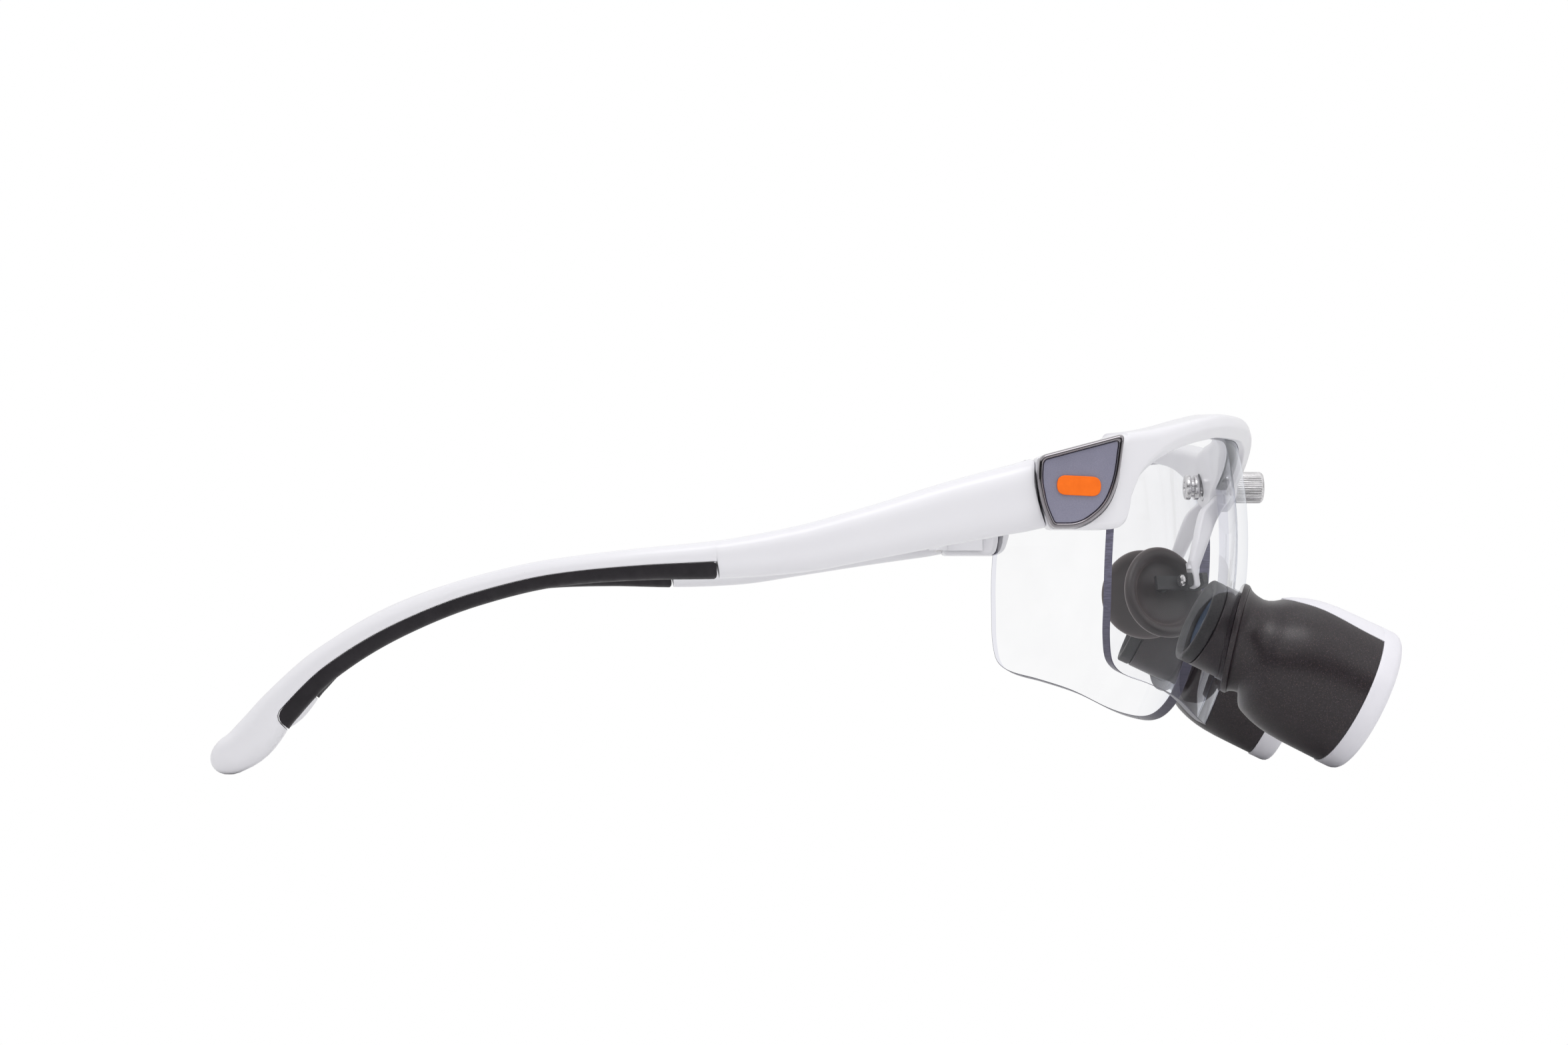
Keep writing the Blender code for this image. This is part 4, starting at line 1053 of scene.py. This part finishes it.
def optic_profile(rear, edge_rear, edge_front, front, radius):
    """Profile of a round optic from pole to pole through its edge."""
    profile = []
    for pole, edge, order in ((rear, edge_rear, 1), (front, edge_front, -1)):
        for share in (0, 0.15, 0.3, 0.45, 0.6, 0.75, 0.9, 1)[::order]:
            profile.append((pole + (edge - pole) * share ** 2, max(0.02, radius * share)))
    return profile


def build_telescope(side):
    def rounded_rim(corners, radius):
        return turned(rounded_outline(corners, radius, 4))

    housing = make_mesh(f"housing_{side}", housing_shape(), SIDES[side])
    carve(housing, [("DIFFERENCE", tongue_cutter_shape(), SIDES[side])])
    finish_piece(housing, "housing_paint", f"telescope_housing_{side}")
    make_piece("cap", cap_shape(), "cap_white", "front_cap", side, sharp=40)

    corners = [(HOLE_RADIUS, 0.04), (FLANGE_RADIUS, 0.04), (FLANGE_RADIUS, 0.9), (HOLE_RADIUS, 0.9)]
    collar = [flange_ring(r, height) for r, height in rounded_outline(corners, [0.05, 0.1, 0.5, 0.05], 6)]
    make_piece("collar", skin(collar, loop=True), "housing_paint", "lens_flange", side)

    rim = rounded_rim([(0, BARREL_RADIUS), (1.95, BARREL_RADIUS), (1.95, 5.3), (4.2, 5.3), (4.2, 4.75),
                       (1.2, 4.75), (0, 5.55)], 0.35)
    eyepiece = turned(optic_profile(2.3, 1.5, 3.6, 3.2, 4.7), loop=False)
    objective = turned(optic_profile(25, 25.8, 27.6, 28.5, 9.6), loop=False)
    retainer = rounded_rim([(27.95, 9.55), (27.95, 8.7), (28.9, 8.95), (28.9, 9.55)], 0.15)
    make_piece("eyepiece_rim", rim, "black_matte", "eyepiece_ring", side)
    make_piece("eyepiece_glass", eyepiece, "optic_glass", "eyepiece_lens", side)
    make_piece("objective_glass", objective, "optic_glass", "objective_lens", side)
    make_piece("objective_rim", retainer, "black_matte", "objective_ring", side)


# ---- bridge hardware and nose pads

KNOB_RADIUS = 2.5
KNOB_RIDGES = 44
KNOB_REAR = -69.25


def build_bridge_hardware():
    """Knurled thumb screw in front of the bridge and grooved stud behind it."""
    front = KNOB_LOW[1]
    radius = KNOB_RADIUS
    rings = []
    for s, r, depth in (
            (front, radius - 0.75, 0), (front, radius - 0.55, 0), (front + 0.06, radius - 0.36, 0),
            (front + 0.2, radius - 0.16, 0), (front + 0.42, radius - 0.04, 0.03), (front + 0.6, radius, 0.09),
            (KNOB_REAR - 0.5, radius, 0.09), (KNOB_REAR - 0.25, radius - 0.05, 0.03),
            (KNOB_REAR, radius - 0.3, 0), (KNOB_REAR, 1.5, 0), (KNOB_REAR + 0.05, 1.2, 0),
            (KNOB_HIGH[1], 1.2, 0)):
        ring = []
        for k, angle in enumerate(around(KNOB_RIDGES * 4)):
            groove = depth * (0.5 + 0.5 * cos(2 * pi * k / 4)) ** 2
            ring.append(screw_point(s, r - groove, angle))
        rings.append(ring)
    make_piece("knob", skin(rings), "steel", "thumb_screw", body="screw", sharp=40)
    rear = STUD_HIGH[1]
    stud = [(STUD_LOW[1], 1.1), (-63.75, 1.1), (-63.7, 1.7), (-63.6, 1.88), (-63.4, 1.98), (-63, 2),
            (-62.85, 1.95), (-62.75, 1.75), (-62.7, 1.5), (-62.35, 1.5), (-62.3, 1.75), (-62.2, 1.95),
            (-62.05, 2), (rear - 0.5, 2), (rear - 0.22, 1.94), (rear - 0.06, 1.8), (rear, 1.55),
            (rear, 0.9), (rear - 0.25, 0.8), (rear - 0.25, 0.05)]
    make_piece("stud", turned(stud, 72, False, screw_point), "steel", "grooved_stud", sharp=40)


NOSE_PAD_LENGTH = 7.0           # half-length and half-height of the pad
NOSE_PAD_HEIGHT = 7.4
# Share of the pad's size and place across it, from the inner face round the edge to the outer one.
NOSE_PAD_PROFILE = [
    (0.01, -5), (0.2, -4.99), (0.4, -4.95), (0.55, -4.92), (0.7, -4.85), (0.8, -4.7), (0.88, -4.45),
    (0.94, -4.16), (0.98, -3.8), (1, -3.4), (0.99, -3.08), (0.965, -2.8), (0.93, -2.6), (0.89, -2.48),
    (0.84, -2.44), (0.8, -2.52), (0.76, -2.68), (0.73, -2.9), (0.705, -3.2), (0.68, -3.5), (0.64, -3.68),
    (0.55, -3.8), (0.3, -3.85), (0.01, -3.85)]


def build_nose_pad(side):
    rings = []
    for scale, across in NOSE_PAD_PROFILE:
        ring = []
        for angle in around(72):
            along = NOSE_PAD_LENGTH * scale * sin(angle) * (1 - 0.07 * cos(angle))
            up = NOSE_PAD_HEIGHT * scale * cos(angle)
            ring.append(nose_point(across + 0.4 * scale ** 2, 4.0 + along, up - 1.1))
        rings.append(ring)
    make_piece("soft_nose_pad", skin(rings), "rubber_brown", "nose_pad", side, f"{side}_nose_pad", 60)


def dress_cad_nodes():
    """Small hardware keeps its CAD shape, with softened edges and its own finish."""
    finishes = {"steel": ("bridge_bush", "hinge_screw", "nose_pad_pin"), "frame_white": ("hinge_leaf",),
                "black_matte": ("nose_pad_clip", "baffle_tube")}
    for name, item in frame["nodes"].items():
        for finish, starts in finishes.items():
            if name.startswith(starts):
                item.data.materials.clear()
                item.data.materials.append(FINISH[finish])
                bevel = item.modifiers.new("soft_edges", "BEVEL")
                configure(bevel, width=0.12 * MM, segments=2, limit_method="ANGLE",
                          angle_limit=radians(40), harden_normals=False)


# ---- studio

def build_stage():
    """A wide white floor under a white surround; the camera sees it without shade."""
    mesh = bpy.data.meshes.new("floor")
    reach = 4.0
    corners = [(-reach, -reach, 0), (reach, -reach, 0), (reach, reach, 0), (-reach, reach, 0)]
    mesh.from_pydata(corners, [], [(0, 1, 2, 3)])
    floor = configure(add_object("floor", mesh), location=(0, 0, -0.05 * MM))
    s = Shader("floor_white", (0.81, 0.81, 0.81), 0.9, Specular_IOR_Level=0)
    s.drive("Base Color", s.noise(120), 0.8, 0.82)
    seen = s.node("ShaderNodeLightPath").outputs["Is Camera Ray"]
    glow = s.node("ShaderNodeEmission").outputs["Emission"]
    s.surface(seen, s.bsdf.outputs["BSDF"], glow)
    mesh.materials.append(s.material)


def build_world():
    """White for the camera, a soft gradient for diffuse light, and a lit studio for reflections."""
    world = bpy.data.worlds.new("studio")
    bpy.context.scene.world = world
    world.use_nodes = True
    n = Nodes(world.node_tree)
    n.tree.nodes.clear()

    def background(strength):
        made = n.node("ShaderNodeBackground", {"Color": (1, 1, 1, 1), "Strength": strength})
        return made.outputs["Background"]

    def spread(source, *stops):
        """A ramp over a source that runs from -1 to 1."""
        scaled = n.node("ShaderNodeMapRange", {"From Min": -1, "Value": source})
        return n.ramp(scaled.outputs["Result"], *[((place + 1) / 2, level) for place, level in stops])

    coords = n.node("ShaderNodeTexCoord")
    split = n.node("ShaderNodeSeparateXYZ", {"Vector": coords.outputs["Generated"]})
    ahead, along, up = (split.outputs[key] for key in "XYZ")
    soft = background(spread(up, (-1, 0.64), (0, 0.78), (1, 1.02)))
    backdrop = spread(ahead, (-0.45, 0), (0.05, 0.8))
    overhead = spread(up, (-0.3, 0.75), (-0.06, 0.06), (0.34, 0.06), (0.5, 1), (0.8, 1), (0.93, 0.35))
    strip = spread(along, (-0.86, 0), (-0.8, 0.85), (-0.66, 0.85), (-0.6, 0))
    lit = background(n.math("MAXIMUM", n.math("MAXIMUM", backdrop, overhead), strip))
    path = n.node("ShaderNodeLightPath")
    rays = n.choose(path.outputs["Is Glossy Ray"], soft, lit)
    rays = n.choose(path.outputs["Is Camera Ray"], rays, background(1))
    n.node("ShaderNodeOutputWorld", {"Surface": rays})


def add_softbox(name, place, target, width, height, power):
    """A rectangular soft light that looks at a point."""
    data = bpy.data.lights.new(name, "AREA")
    configure(data, shape="RECTANGLE", size=width, size_y=height, energy=power)
    turn = (Vector(target) - Vector(place)).to_track_quat("-Z", "Y")
    configure(add_object(name, data), location=place, rotation_euler=turn.to_euler())


def build_lights():
    add_softbox("key_box", (-0.25, -0.02, 0.4), (-0.035, -0.07, 0.02), 0.22, 0.16, 0.34)
    add_softbox("top_box", (-0.15, -0.05, 0.55), (0, 0, 0.03), 0.7, 0.5, 0.55)
    add_softbox("front_box", (-0.35, -0.5, 0.22), (0, -0.05, 0.02), 0.3, 0.3, 0.2)
    add_softbox("side_box", (-0.5, 0.25, 0.3), (0, 0, 0.02), 0.35, 0.2, 0.1)


CAMERA_YAW = 4.0019             # forward of square to the arms
CAMERA_PITCH = 1.9525           # above level
CAMERA_LENS = 101.02
CAMERA_PLACE = (-0.695, 0.0513, 0.0146)


def build_camera():
    """Low and to the wearer's right, turned slightly forward and looking slightly up."""
    yaw = radians(CAMERA_YAW)
    pitch = radians(CAMERA_PITCH)
    forward = Vector((cos(pitch) * cos(yaw), -cos(pitch) * sin(yaw), sin(pitch)))
    right = Vector((-sin(yaw), -cos(yaw), 0))
    data = bpy.data.cameras.new("camera")
    configure(data, sensor_width=36, sensor_fit="HORIZONTAL", lens=CAMERA_LENS, clip_start=0.01,
              clip_end=20)
    turn = Matrix((right, right.cross(forward), -forward)).transposed()
    camera = add_object("camera", data)
    camera.matrix_world = Matrix.Translation(CAMERA_PLACE) @ turn.to_4x4()
    bpy.context.scene.camera = camera


build_frame_front()
build_bridge_hardware()
for side in SIDES:
    for build in (build_carrier_lens, build_plaque, build_temple, build_telescope, build_nose_pad):
        build(side)
dress_cad_nodes()
build_stage()
build_world()
build_lights()
build_camera()
bpy.context.scene.view_settings.view_transform = "Standard"
